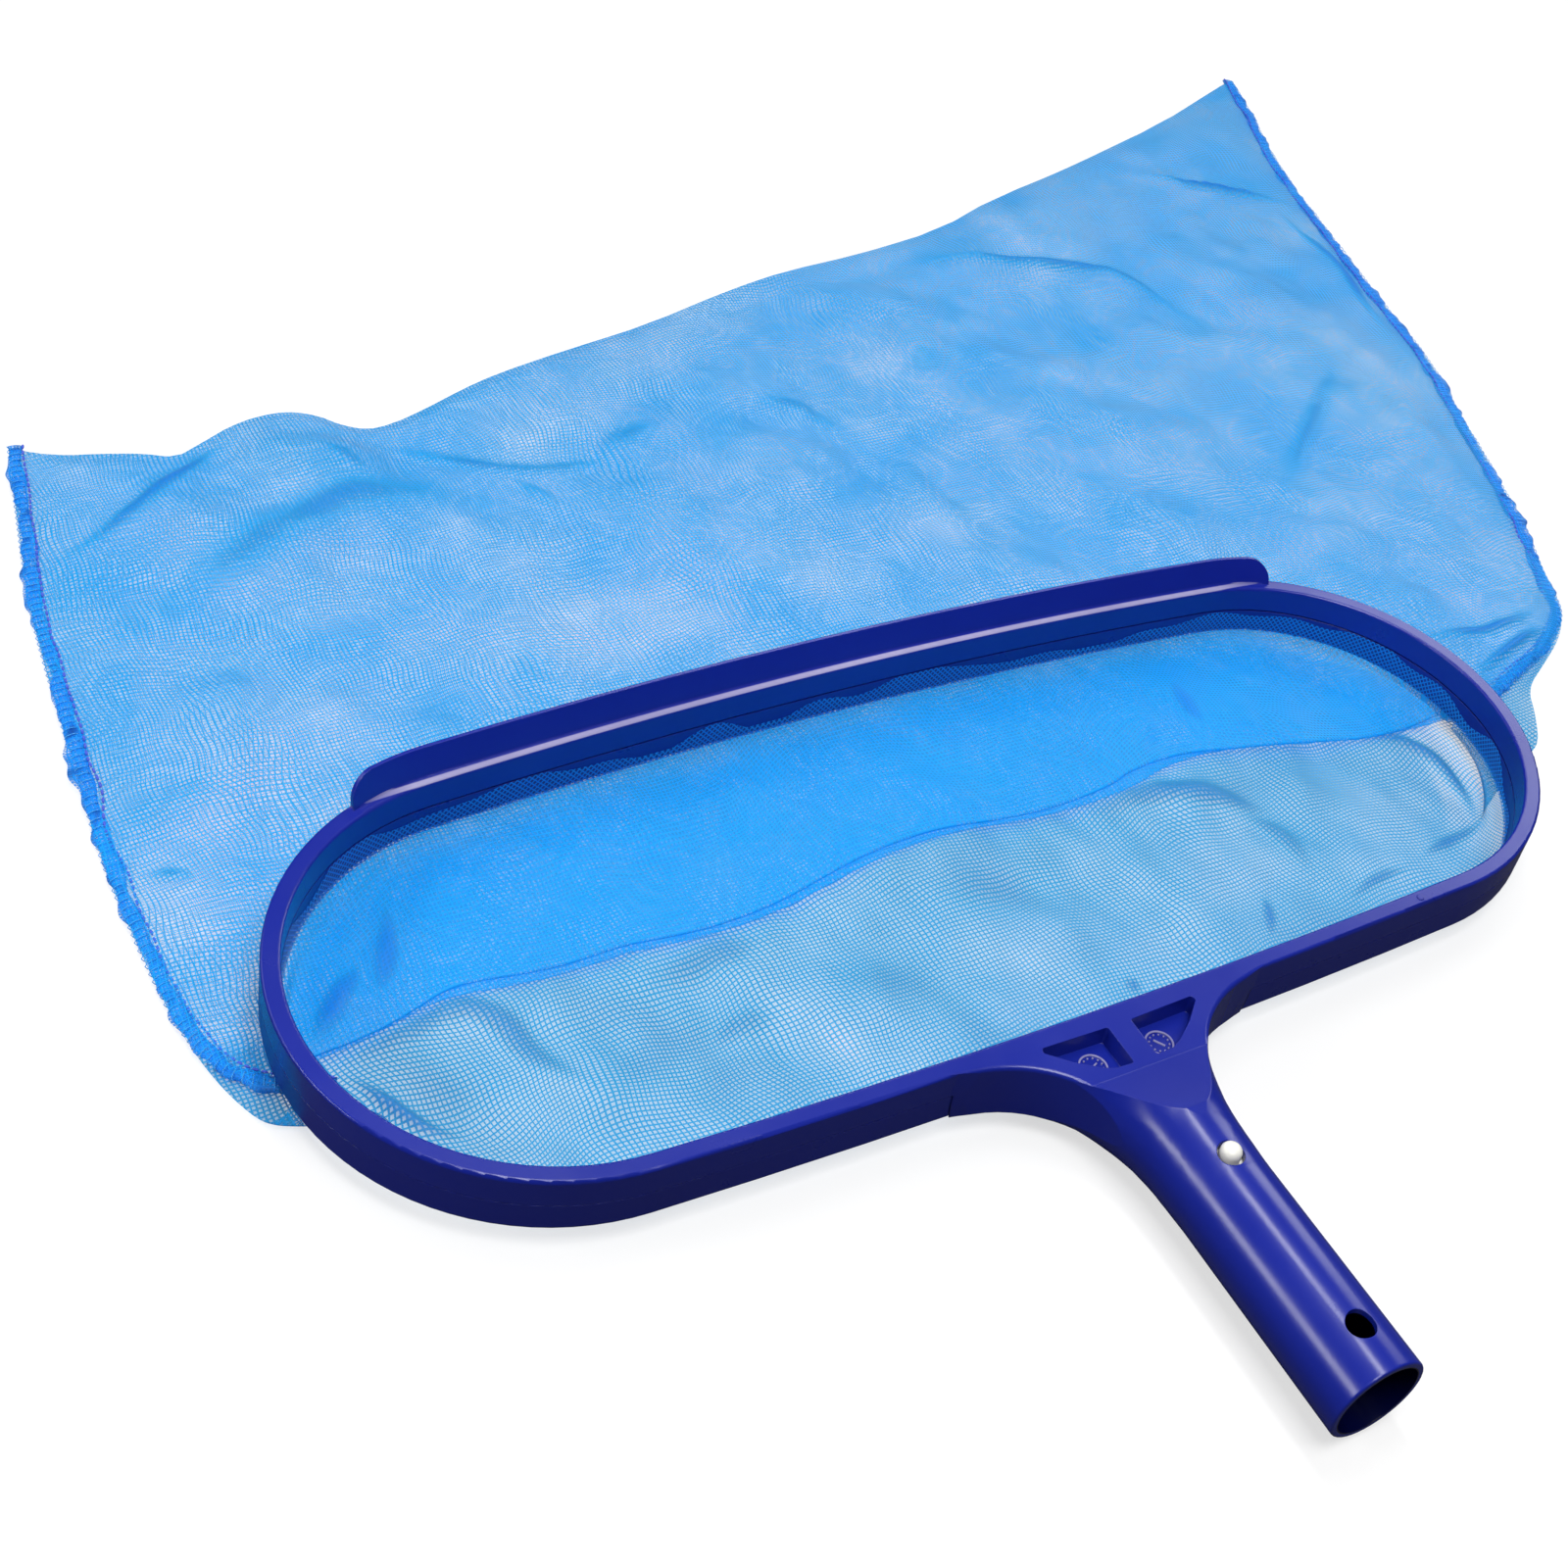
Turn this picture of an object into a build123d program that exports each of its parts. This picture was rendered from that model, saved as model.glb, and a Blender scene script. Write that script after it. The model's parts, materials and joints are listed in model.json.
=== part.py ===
from build123d import *
import math
import os

# Leaf skimmer net: a moulded plastic hoop with a scraper lip, a two-part rim that
# traps the hem of a fine mesh bag, and a hollow handle with a V spring clip that
# snaps into a telescopic pool pole.
# Frame: +Z up, X along the hoop's long side, handle towards -Y (the front).
# The pieces are drawn from the middle of the mouth: upper face plane, handle's centre
# line, midway between the two round ends. They are exported with the origin on the
# handle's axis, at the middle of the pole spigot. All sizes in millimetres.
# An "inset" is a distance inwards from the hoop's outside wall.

# ---------------------------------------------------------------- hoop outline
HALF_LENGTH = 210.0      # half the hoop's outside length
END_R = 75.0             # outside radius of the two round ends
REAR_R = 1740.0          # outside radius of the long rear side (scraper side)
FRONT_R = 2940.0         # outside radius of the long front side (handle side)
RAIL_W = 5.4             # outside wall to inside wall
RAIL_H = 19.0            # total height of the rail
PART_Z = -9.4            # underside of the upper moulding, the visible parting line
EDGE_R = 0.9             # rounding of the rail's long edges

# arc centres: the ends at (+-END_X, 0), the long sides at (0, REAR_Y) and (0, FRONT_Y)
END_X = HALF_LENGTH - END_R
REAR_Y = -math.sqrt((REAR_R - END_R) ** 2 - END_X ** 2)
FRONT_Y = math.sqrt((FRONT_R - END_R) ** 2 - END_X ** 2)

# ------------------------------------------------------- clamping of the bag hem
GROOVE_OUTER, GROOVE_INNER = 1.9, 3.5    # insets of the groove in the upper moulding
GROOVE_TOP = -5.6
TONGUE_OUTER, TONGUE_INNER = 2.1, 3.3    # insets of the tongue on the lower ring
TONGUE_TOP = -6.0
TONGUE_ROOT = 2.0        # how far the tongue reaches into the lower ring
RIM_GAP = 0.05           # between the two rims at the parting line
HEM_GAP = 0.5            # gap left for the hem between the two rims
HEM_T = 0.35             # thickness of the hem tape
HEM_DROP = 8.5           # how far the hem tape hangs inside the hoop
HEM_TOP = PART_Z - 0.08
HEM_OUTER = GROOVE_INNER + 0.25
HEM_HANG_OUTER, HEM_HANG_INNER = RAIL_W + 0.2, RAIL_W + 0.6

# ----------------------------------------------------------------- scraper lip
LIP_H = 8.5              # height above the upper face
LIP_ROOT_Z = -1.2        # it starts inside the rail
LIP_OUT = 1.7            # how far its top edge leans outwards
LIP_T_TOP = 1.1
LIP_ROOT_OUTER, LIP_ROOT_INNER = 0.35, 3.0   # insets of its walls at the root
LIP_HALF = 165.0         # half its length
LIP_CORNER = 7.0         # rounding of its two upper corners
LIP_REACH_Y = 120.0      # depth of the zones that keep only the rear side

# ---------------------------------------------------------------------- handle
HANDLE_R = 14.3          # outside radius, slides inside the pole
HANDLE_Z = -RAIL_H / 2   # height of the handle's axis
HANDLE_END_Y = -200.0
HANDLE_EDGE_R = 0.6
STEP_Y = -135.2          # the straight wall ends here and the root starts to flare
SPIGOT_MID_Y = (HANDLE_END_Y + STEP_Y) / 2   # middle of the wall a pole slides over
BORE_R = 12.3
BORE_STRAIGHT_Y = -115.0 # the bore tapers from here to its blind end
BORE_END_Y = -96.0
BORE_END_R = 7.6
BUTTON_Y = -130.5        # cross hole that the buttons stand in
BUTTON_HOLE_R = 3.9
SPARE_Y = -186.1         # empty cross hole near the open end
SPARE_HOLE_R = 4.15

# ------------------------------------------------------------------------ yoke
# half width, Y: edge of the yoke from rail to handle
YOKE_HALF = [
    (70.0, -76.2), (58.0, -77.6), (47.0, -78.9), (38.5, -81.0), (31.5, -84.3),
    (26.0, -88.4), (21.8, -93.2), (18.9, -98.4), (17.3, -104.0), (16.5, -110.0),
    (16.2, -117.0), (16.2, -122.0),
]
YOKE_REAR_Y = -70.0      # rear edge of the plate, inside the hoop
# radius, Y: round root from handle to yoke
ROOT_FLARE = [
    (HANDLE_R, STEP_Y), (14.5, -130.0), (14.7, -124.5), (15.1, -118.5), (15.7, -113.5),
    (16.6, -109.0), (17.9, -104.0), (19.7, -99.0), (22.6, -94.0), (27.0, -89.0),
    (35.0, -83.5), (60.0, -76.5), (100.0, -68.0),
]
PLATE_HALF_T = 15.2      # half thickness of the plate the yoke is cut from
FACET_REAR_Y, FACET_FRONT_Y = -95.0, -114.0  # sloping flats towards the handle
FACET_RISE = HANDLE_R + 0.8 + HANDLE_Z
WEDGE_REAR_Y = -60.0
WEDGE_H = 30.0
WEDGE_W = 180.0
YOKE_EDGE_R = 1.2
ROOT_MID_Y, ROOT_LENGTH = -129.0, 20.0       # zone where the root is fully round
YOKE_IN_UPPER = 1.2      # how far the yoke enters the upper rail
YOKE_CLEARANCE = 0.15    # between the yoke and the lower ring

# x, y: outline of the right-hand pocket in the yoke's upper face
POCKET = [
    (3.9, -79.5), (25.6, -78.9), (26.2, -80.4), (19.9, -86.2), (13.0, -90.9),
    (9.8, -92.3), (3.9, -92.6),
]
POCKET_DEPTH = 6.5
POCKET_CORNER = 0.8
POCKET_OPEN_Z = 4.0      # top of the pocket cutter

# mould-date dial on each pocket floor
DIAL_X, DIAL_Y = 11.4, -85.9
DIAL_Z = 0.05 - POCKET_DEPTH
DIAL_R = 4.3
DIAL_RIM_W, DIAL_RIM_H = 0.55, 0.7
DIAL_MARKS = 12
MARK_CIRCLE_R, MARK_R = 2.95, 0.26
MARK_H = 0.6             # height of the marks and the pointer
POINTER_W, POINTER_L = 0.5, 3.6
POINTER_ANGLE = {1: 35, -1: 115}             # right dial, left dial

# gate mark on the front side's upper face
GATE_X = 118.0
GATE_INSET = 2.6
GATE_R, GATE_H = 1.1, 0.5

# ----------------------------------------------------------------- spring clip
PIVOT_Y = -104.0         # living hinge at the root of each leg
PIVOT_H = 6.2            # its distance above or below the handle axis
CLIP_T = 1.4
CLIP_W = 9.0
LEG_W = 8.0
LEG_END_Y = -141.0
LEG_KINK_INNER_Y, LEG_KINK_OUTER_Y = -127.0, -127.5
LEG_H = 10.4             # centre of the leg above the axis beside the button
KNUCKLE_R = 0.7
KNUCKLE_GAP = 0.06
SOCKET_W = 20.0          # length of the cutter for each knuckle's seat
BUTTON_R = 3.05
BUTTON_SHOULDER = 14.2   # where its dome starts, above the handle axis
BUTTON_DOME = (2.45, 16.05)                  # radius, height: a point on the dome
BUTTON_TOP = 16.9        # crown of the button
BUTTON_SHIFT = 0.2       # from the hole's centre towards the hoop

# ------------------------------------------------------------------------- bag
NET_T = 0.4
BAG_FLOOR_Z = -26.2      # lowest layer of the bag as it lies
BAG_UPPER_Z = -21.6      # upper layer behind the hoop
BAG_UPPER_TOP = BAG_UPPER_Z + NET_T
BAG_FOLD_Z = -20.6       # slack of the rear panel that falls forward in the hoop
SKIRT_INSET = 6.2        # outside face of the bag's mouth
SKIRT_TOP = PART_Z - 1.0
SEAM_W = 4.0             # width of the sewn allowance along each side
SEAM_GAP = 0.25          # between the allowance and the bag
SEAM_Z = (-24.6, -23.4)
THREAD_EDGES = (2.7, 3.5)                    # from the seam's outside edge
THREAD_Z = (-23.35, -22.85)
FAR_INSET = 0.2          # bag's far edge inside the measured line
# x, y: left side from front to rear, far edge from left to right,
# right side from rear to front
BAG_LEFT = [
    (-205, -14), (-213, -9), (-219, 3), (-224, 18), (-226, 31), (-227, 60),
    (-227, 90), (-224, 126), (-221, 160), (-217, 202), (-209, 246), (-202, 283),
]
BAG_FAR = [
    (-161, 269), (-128, 275), (-106, 278), (-85, 266), (-59, 270),
    (-27, 282), (4, 291), (41, 299), (81, 311), (113, 319), (147, 324),
    (197, 334), (234, 351), (303, 374), (355, 392),
]
BAG_RIGHT = [
    (425, 425), (407, 378), (392, 337), (379, 282), (371, 250), (359, 190),
    (347, 160), (335, 126), (321, 92), (313, 70), (303, 46), (288, 31),
    (262, 16), (247, 2), (233, -14),
]
# x, y: front edge of the slack fold across the mouth, left to right
FOLD = [
    (-215, 4), (-194, 5), (-168, 12), (-143, 17), (-119, 14), (-88, 12), (-51, 14),
    (-11, 22), (33, 20), (75, 21), (107, 26), (145, 18), (190, 9), (215, 7),
]
ZONE_X, ZONE_Y = 260, 120                    # reach of the zones either side of the fold
ZONE_Z = (-40, 20)
END_STEPS, SIDE_STEPS = 24, 10               # mouth points on each end, each long side


# ===================================================================== helpers
def oval(inset):
    """The hoop outline moved inwards, as a face at Z 0: four tangent arcs."""
    end_r, rear_r, front_r = END_R - inset, REAR_R - inset, FRONT_R - inset

    def tangent(centre_y, radius, side):
        # the tangent point lies on the line through the two arc centres
        dist = math.hypot(END_X, centre_y)
        return (side * END_X / dist * radius, centre_y - centre_y / dist * radius)

    rear_left, rear_right = [tangent(REAR_Y, rear_r, side) for side in (-1, 1)]
    front_left, front_right = [tangent(FRONT_Y, front_r, side) for side in (-1, 1)]
    return make_face(Wire([
        ThreePointArc(rear_left, (0, REAR_Y + rear_r), rear_right),
        ThreePointArc(rear_right, (END_X + end_r, 0), front_right),
        ThreePointArc(front_right, (0, FRONT_Y - front_r), front_left),
        ThreePointArc(front_left, (-END_X - end_r, 0), rear_left),
    ]))


def oval_at(inset, z):
    return Pos(0, 0, z) * oval(inset)


def oval_slab(inset, z0, z1):
    return extrude(oval_at(inset, z0), z1 - z0)


def band(outer, inner, z0, z1):
    """A closed rail of rectangular section between two insets."""
    return oval_slab(outer, z0, z1) - oval_slab(inner, z0 - 1, z1 + 1)


def round_edges_at(solid, z):
    """Round the edges that lie wholly at height z."""
    edges = []
    for edge in solid.edges():
        box = edge.bounding_box()
        if abs(box.min.Z - z) < 1e-4 and abs(box.max.Z - z) < 1e-4:
            edges.append(edge)
    return fillet(edges, EDGE_R)


def polygon(points):
    return make_face(Polyline(*points, close=True))


def prism(points, z0, z1):
    return extrude(Pos(0, 0, z0) * polygon(points), z1 - z0)


def across_x(face, width):
    """A face drawn in (Y, Z), extruded evenly to both sides of the centre line."""
    return extrude(Plane.YZ * Pos(0, 0, -width / 2) * face, width)


def handle_plane(y):
    """Plane square to the handle's axis."""
    return Plane(origin=(0, y, HANDLE_Z), x_dir=(1, 0, 0), z_dir=(0, 1, 0))


def biggest(shape):
    return max(shape.solids(), key=lambda s: s.volume)


# =============================================================== main moulding
def make_upper_rail():
    rail = round_edges_at(band(0, RAIL_W, PART_Z, 0), 0)
    return rail - band(GROOVE_OUTER, GROOVE_INNER, PART_Z - 1, GROOVE_TOP)


def make_lip():
    """Scraper lip: stands on the rear side and leans outwards."""
    outer = loft([oval_at(LIP_ROOT_OUTER, LIP_ROOT_Z), oval_at(-LIP_OUT, LIP_H)], ruled=True)
    inner = loft([
        oval_at(LIP_ROOT_INNER, LIP_ROOT_Z - 0.01),
        oval_at(-LIP_OUT + LIP_T_TOP, LIP_H + 0.01),
    ], ruled=True)
    # the zone's lower corners lie below the root, so only the upper ones show
    profile = RectangleRounded(2 * LIP_HALF, LIP_H - LIP_ROOT_Z + LIP_CORNER, LIP_CORNER - 0.01)
    middle_z = (LIP_H + LIP_ROOT_Z) / 2 - LIP_CORNER / 2
    zone = extrude(Plane.XZ * Pos(0, middle_z) * profile, -LIP_REACH_Y)
    box_h = 10.4
    above_root = Pos(0, LIP_REACH_Y / 2, LIP_ROOT_Z + box_h / 2) * Box(
        2 * LIP_HALF + 20, LIP_REACH_Y, box_h)
    return (outer - inner) & zone & above_root


def is_yoke_top_edge(edge):
    """One of the two flared side edges of the plate's upper face."""
    box = edge.bounding_box()
    at_top = abs(box.min.Z) < 1e-4 and abs(box.max.Z) < 1e-4
    return at_top and box.size.X > 20 and box.size.Y > 5 and box.max.Y < -75.0


def make_yoke():
    right = YOKE_HALF
    left = [(-x, y) for x, y in reversed(YOKE_HALF)]
    rear_right = (YOKE_HALF[0][0], YOKE_REAR_Y)
    rear_left = (-YOKE_HALF[0][0], YOKE_REAR_Y)
    outline = Wire([
        Spline(*right),
        Line(right[-1], left[0]),
        Spline(*left),
        Line(left[-1], rear_left),
        Line(rear_left, rear_right),
        Line(rear_right, right[0]),
    ])
    plate = extrude(Pos(0, 0, HANDLE_Z - PLATE_HALF_T) * make_face(outline), 2 * PLATE_HALF_T)
    # flat on both faces beside the hoop, with a ramp to the top and bottom of the handle
    for side, face_z in ((1, 0.0), (-1, -RAIL_H)):
        far_z = face_z + side * WEDGE_H
        plate -= across_x(polygon([
            (FACET_FRONT_Y, face_z + side * FACET_RISE),
            (FACET_REAR_Y, face_z),
            (WEDGE_REAR_Y, face_z),
            (WEDGE_REAR_Y, far_z),
            (FACET_FRONT_Y, far_z),
        ]), WEDGE_W)
    plate = fillet([e for e in plate.edges() if is_yoke_top_edge(e)], YOKE_EDGE_R)

    # a flaring round envelope turns the plate's corners into the round handle
    axis_rear, axis_front = (0, ROOT_FLARE[-1][1]), (0, ROOT_FLARE[0][1])
    profile = Wire([
        Spline(*ROOT_FLARE),
        Line(ROOT_FLARE[-1], axis_rear),
        Line(axis_rear, axis_front),
        Line(axis_front, ROOT_FLARE[0]),
    ])
    handle_axis = Axis((0, 0, HANDLE_Z), (0, 1, 0))
    flare = revolve(Pos(0, 0, HANDLE_Z) * make_face(profile), handle_axis, 360)
    root_zone = Pos(0, ROOT_MID_Y, HANDLE_Z) * Box(60, ROOT_LENGTH, 60)
    yoke = (flare & plate) + (flare & root_zone)
    # above the parting line it is one with the rail, below it stays outside the lower ring
    yoke -= oval_slab(YOKE_IN_UPPER, PART_Z, PART_Z + 20)
    return yoke - oval_slab(-YOKE_CLEARANCE, -RAIL_H - 5, PART_Z)


def make_handle():
    handle = extrude(handle_plane(HANDLE_END_Y) * Circle(HANDLE_R), STEP_Y - HANDLE_END_Y)
    end_edges = [e for e in handle.edges() if e.center().Y < HANDLE_END_Y + 0.1]
    return fillet(end_edges, HANDLE_EDGE_R)


def make_bore():
    """Straight from the open end, then tapered to a blind end in the yoke."""
    straight_l = BORE_STRAIGHT_Y - HANDLE_END_Y
    bore = extrude(handle_plane(HANDLE_END_Y) * Circle(BORE_R), straight_l)
    return bore + loft([
        handle_plane(BORE_STRAIGHT_Y) * Circle(BORE_R),
        handle_plane(BORE_END_Y) * Circle(BORE_END_R),
    ])


def make_main_frame():
    frame = make_upper_rail() + make_lip()
    frame = frame + make_yoke() + make_handle()
    frame -= make_bore()
    # cross holes through both walls
    for y, radius in ((BUTTON_Y, BUTTON_HOLE_R), (SPARE_Y, SPARE_HOLE_R)):
        frame -= Pos(0, y, HANDLE_Z) * Cylinder(radius, 60)

    # two pockets with a central rib, each with a dial: rim, month marks and a pointer
    for side in (1, -1):
        pocket = prism([(side * x, y) for x, y in POCKET], -POCKET_DEPTH, POCKET_OPEN_Z)
        upright = [
            e for e in pocket.edges()
            if e.length > POCKET_DEPTH + 3.5 and abs(e.tangent_at(0.5).Z) > 0.99
        ]
        frame -= fillet(upright, POCKET_CORNER)
        dial = Pos(side * DIAL_X, DIAL_Y, DIAL_Z)
        frame += dial * (Cylinder(DIAL_R, DIAL_RIM_H) - Cylinder(DIAL_R - DIAL_RIM_W, 1.0))
        for i in range(DIAL_MARKS):
            angle = math.radians(360 / DIAL_MARKS * i)
            mark_x, mark_y = MARK_CIRCLE_R * math.cos(angle), MARK_CIRCLE_R * math.sin(angle)
            frame += dial * Pos(mark_x, mark_y) * Cylinder(MARK_R, MARK_H)
        frame += dial * Rot(0, 0, POINTER_ANGLE[side]) * Box(POINTER_W, POINTER_L, MARK_H)
    frame = biggest(frame)

    gate_y = FRONT_Y - math.sqrt((FRONT_R - GATE_INSET) ** 2 - GATE_X ** 2)
    return biggest(frame + Pos(GATE_X, gate_y, 0) * Cylinder(GATE_R, GATE_H))


# ====================================================== lower ring and hem tape
def make_clamp_ring():
    top = PART_Z - RIM_GAP
    ring = round_edges_at(band(0, RAIL_W, -RAIL_H, top), -RAIL_H)
    ring -= band(GROOVE_INNER, RAIL_W + 1, top - HEM_GAP, PART_Z + 1)
    ring += band(TONGUE_OUTER, TONGUE_INNER, PART_Z - TONGUE_ROOT, TONGUE_TOP)
    return biggest(ring)


def make_hem_tape():
    """L section: flat between the rims, then hanging down inside the hoop."""
    tape = band(HEM_OUTER, HEM_HANG_INNER, HEM_TOP - HEM_T, HEM_TOP)
    tape += band(HEM_HANG_OUTER, HEM_HANG_INNER, HEM_TOP - HEM_DROP, HEM_TOP)
    return biggest(tape)


# ========================================================================= bag
def move_right(points, distance):
    """An open line moved sideways, to the right of its direction."""
    moved = []
    for i, (x, y) in enumerate(points):
        x0, y0 = points[max(i - 1, 0)]
        x1, y1 = points[min(i + 1, len(points) - 1)]
        dx, dy = x1 - x0, y1 - y0
        length = math.hypot(dx, dy)
        moved.append((x + dy / length * distance, y - dx / length * distance))
    return moved


def shrink(points, distance):
    """A closed clockwise outline moved inwards, mitred."""
    moved = []
    for i, (x, y) in enumerate(points):
        x0, y0 = points[i - 1]
        x1, y1 = points[(i + 1) % len(points)]
        length_in, length_out = math.hypot(x - x0, y - y0), math.hypot(x1 - x, y1 - y)
        in_x, in_y = (y - y0) / length_in, -(x - x0) / length_in
        out_x, out_y = (y1 - y) / length_out, -(x1 - x) / length_out
        mitre = max(1 + in_x * out_x + in_y * out_y, 0.4)
        moved.append((x + (in_x + out_x) / mitre * distance,
                      y + (in_y + out_y) / mitre * distance))
    return moved


def oval_points(inset):
    """Points round the hoop outline, anticlockwise from the front of the right end."""
    front_angle, rear_angle = math.atan2(-FRONT_Y, END_X), math.atan2(-REAR_Y, END_X)
    # centre x, centre y, radius, start angle, end angle, steps
    arcs = [
        (END_X, 0.0, END_R, front_angle, rear_angle, END_STEPS),
        (0.0, REAR_Y, REAR_R, rear_angle, math.pi - rear_angle, SIDE_STEPS),
        (-END_X, 0.0, END_R, math.pi - rear_angle, math.pi - front_angle, END_STEPS),
        (0.0, FRONT_Y, FRONT_R, -math.pi - front_angle, front_angle, SIDE_STEPS),
    ]
    points = []
    for centre_x, centre_y, outside_r, start, end, steps in arcs:
        radius = outside_r - inset
        for i in range(steps):
            angle = start + (end - start) * i / steps
            points.append((centre_x + radius * math.cos(angle),
                           centre_y + radius * math.sin(angle)))
    return points


def front_run(points, reach):
    """The oval points up to `reach` steps either side of the front's middle, right to left."""
    middle = 2 * END_STEPS + SIDE_STEPS + SIDE_STEPS // 2
    return [points[i % len(points)] for i in range(middle + reach, middle - reach - 1, -1)]


def make_net_bag():
    mouth_outer = oval_points(SKIRT_INSET)
    mouth_mid = oval_points(SKIRT_INSET + NET_T / 2)
    mouth_inner = oval_points(SKIRT_INSET + NET_T)

    # plan of the bag: left side, far edge, right side, then the front of its mouth
    closed_sides = (
        move_right(BAG_LEFT, SEAM_W + SEAM_GAP)
        + [(x, y - FAR_INSET) for x, y in BAG_FAR]
        + move_right(BAG_RIGHT, SEAM_W + SEAM_GAP)
    )
    plan = closed_sides + front_run(mouth_mid, 11)
    inner_plan = shrink(plan, NET_T)
    behind_fold = prism(FOLD + [(ZONE_X, ZONE_Y), (-ZONE_X, ZONE_Y)], *ZONE_Z)
    ahead_of_fold = prism(FOLD + [(ZONE_X, -ZONE_Y), (-ZONE_X, -ZONE_Y)], *ZONE_Z)

    floor_sheet = prism(plan, BAG_FLOOR_Z, BAG_FLOOR_Z + NET_T)
    upper_sheet = prism(plan, BAG_UPPER_Z, BAG_UPPER_TOP)
    upper_sheet -= prism(mouth_mid, *ZONE_Z) & ahead_of_fold

    # closing wall along the two sides and the far edge, one point into the mouth each way
    count = len(closed_sides) + 1
    wall_outer = [plan[-1]] + plan[:count]
    wall_inner = [inner_plan[-1]] + inner_plan[:count]
    side_wall = prism(wall_outer + wall_inner[::-1], BAG_FLOOR_Z, BAG_UPPER_TOP)

    # the skirt hangs from the rim: in front down to the floor sheet, behind to the fold
    skirt = prism(mouth_outer, BAG_UPPER_Z + NET_T / 2, SKIRT_TOP)
    skirt -= prism(mouth_inner, BAG_UPPER_Z - 1, 0)
    front_strip = front_run(mouth_outer, 12) + front_run(mouth_inner, 12)[::-1]
    front_skirt = prism(front_strip, BAG_FLOOR_Z, BAG_UPPER_TOP)

    fold_top = BAG_FOLD_Z + NET_T
    fold_sheet = prism(mouth_mid, BAG_FOLD_Z, fold_top) & behind_fold
    fold_strip = FOLD + [(x, y + NET_T) for x, y in reversed(FOLD)]
    fold_wall = prism(mouth_mid, BAG_UPPER_Z, fold_top) & prism(fold_strip, *ZONE_Z)

    bag = floor_sheet + side_wall
    for piece in (front_skirt, upper_sheet, skirt, fold_sheet, fold_wall):
        bag += piece
    return biggest(bag)


def make_side_strip(line, edges, heights):
    """A flat strip along a side of the bag, between two distances in from its line."""
    outer, inner = [move_right(line, distance) for distance in edges]
    return biggest(prism(outer + inner[::-1], *heights))


# ================================================================= spring clip
def hinge_cylinder(side, radius, width):
    centre = Pos(0, PIVOT_Y, HANDLE_Z + side * PIVOT_H)
    return centre * Rot(0, 90, 0) * Cylinder(radius, width)


def make_clip_leg(side):
    """One leg with its button; side is +1 for the upper and -1 for the lower leg."""
    half_t = CLIP_T / 2
    # Y, height from the handle axis
    profile = [
        (PIVOT_Y, PIVOT_H + half_t), (PIVOT_Y, PIVOT_H - half_t),
        (LEG_KINK_INNER_Y, LEG_H - half_t), (LEG_END_Y, LEG_H - half_t),
        (LEG_END_Y, LEG_H + half_t), (LEG_KINK_OUTER_Y, LEG_H + half_t),
    ]
    leg = across_x(polygon([(y, HANDLE_Z + side * h) for y, h in profile]), LEG_W)
    leg = leg + hinge_cylinder(side, KNUCKLE_R, LEG_W)

    base, shoulder = (BUTTON_R, LEG_H), (BUTTON_R, BUTTON_SHOULDER)
    crown = (0, BUTTON_TOP)
    button_profile = Wire([
        Line((0, LEG_H), base),
        Line(base, shoulder),
        Spline(shoulder, BUTTON_DOME, crown, tangents=[(0, 1), (-1, 0)]),
        Line(crown, (0, LEG_H)),
    ])
    button = revolve(Plane.XZ * make_face(button_profile), Axis.Z, 360)
    if side < 0:
        button = Rot(180, 0, 0) * button
    return biggest(leg + Pos(0, BUTTON_Y + BUTTON_SHIFT, HANDLE_Z) * button)


def make_clip_bend():
    """Half ring that joins the legs, with a round seat for each knuckle."""
    ring = Circle(PIVOT_H + CLIP_T / 2) - Circle(PIVOT_H - CLIP_T / 2)
    bend = across_x(Pos(PIVOT_Y, HANDLE_Z) * ring, CLIP_W)
    bend = bend & Pos(0, PIVOT_Y + 10, HANDLE_Z) * Box(40, 20, 40)
    for side in (1, -1):
        bend -= hinge_cylinder(side, KNUCKLE_R + KNUCKLE_GAP, SOCKET_W)
    return biggest(bend)


# ====================================================================== export
parts = {
    "main_frame": make_main_frame(),
    "clamp_ring": make_clamp_ring(),
    "hem_tape": make_hem_tape(),
    "net_bag": make_net_bag(),
    "spring_clip_bend": make_clip_bend(),
    "spring_clip_upper_leg": make_clip_leg(1),
    "spring_clip_lower_leg": make_clip_leg(-1),
}
for name, line in (("left", BAG_LEFT), ("right", BAG_RIGHT)):
    parts[f"side_seam_{name}"] = make_side_strip(line, (0, SEAM_W), SEAM_Z)
    # overlock thread that lies on the seam
    parts[f"seam_thread_{name}"] = make_side_strip(line, THREAD_EDGES, THREAD_Z)

os.makedirs("parts", exist_ok=True)
to_spigot = Pos(0, -SPIGOT_MID_Y, -HANDLE_Z)
for name, shape in parts.items():
    export_step(to_spigot * shape, f"parts/{name}.step")
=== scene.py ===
"""A landing-net head: a moulded blue hoop with its pole spigot, and a mesh bag lying on the floor.

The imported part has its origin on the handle's axis, at the middle of the pole spigot. The handle
lies along Y on the -Y side of the mouth; the bag runs out towards +Y. Left is -X, front is -Y
and rear is +Y. Cloth is drawn in millimetres about the middle of the mouth, on the hoop's upper
face. Shaders, lights and camera distances are in metres.
"""

import json
import math

import bpy
import numpy as np
from mathutils import Matrix, Vector

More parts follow.
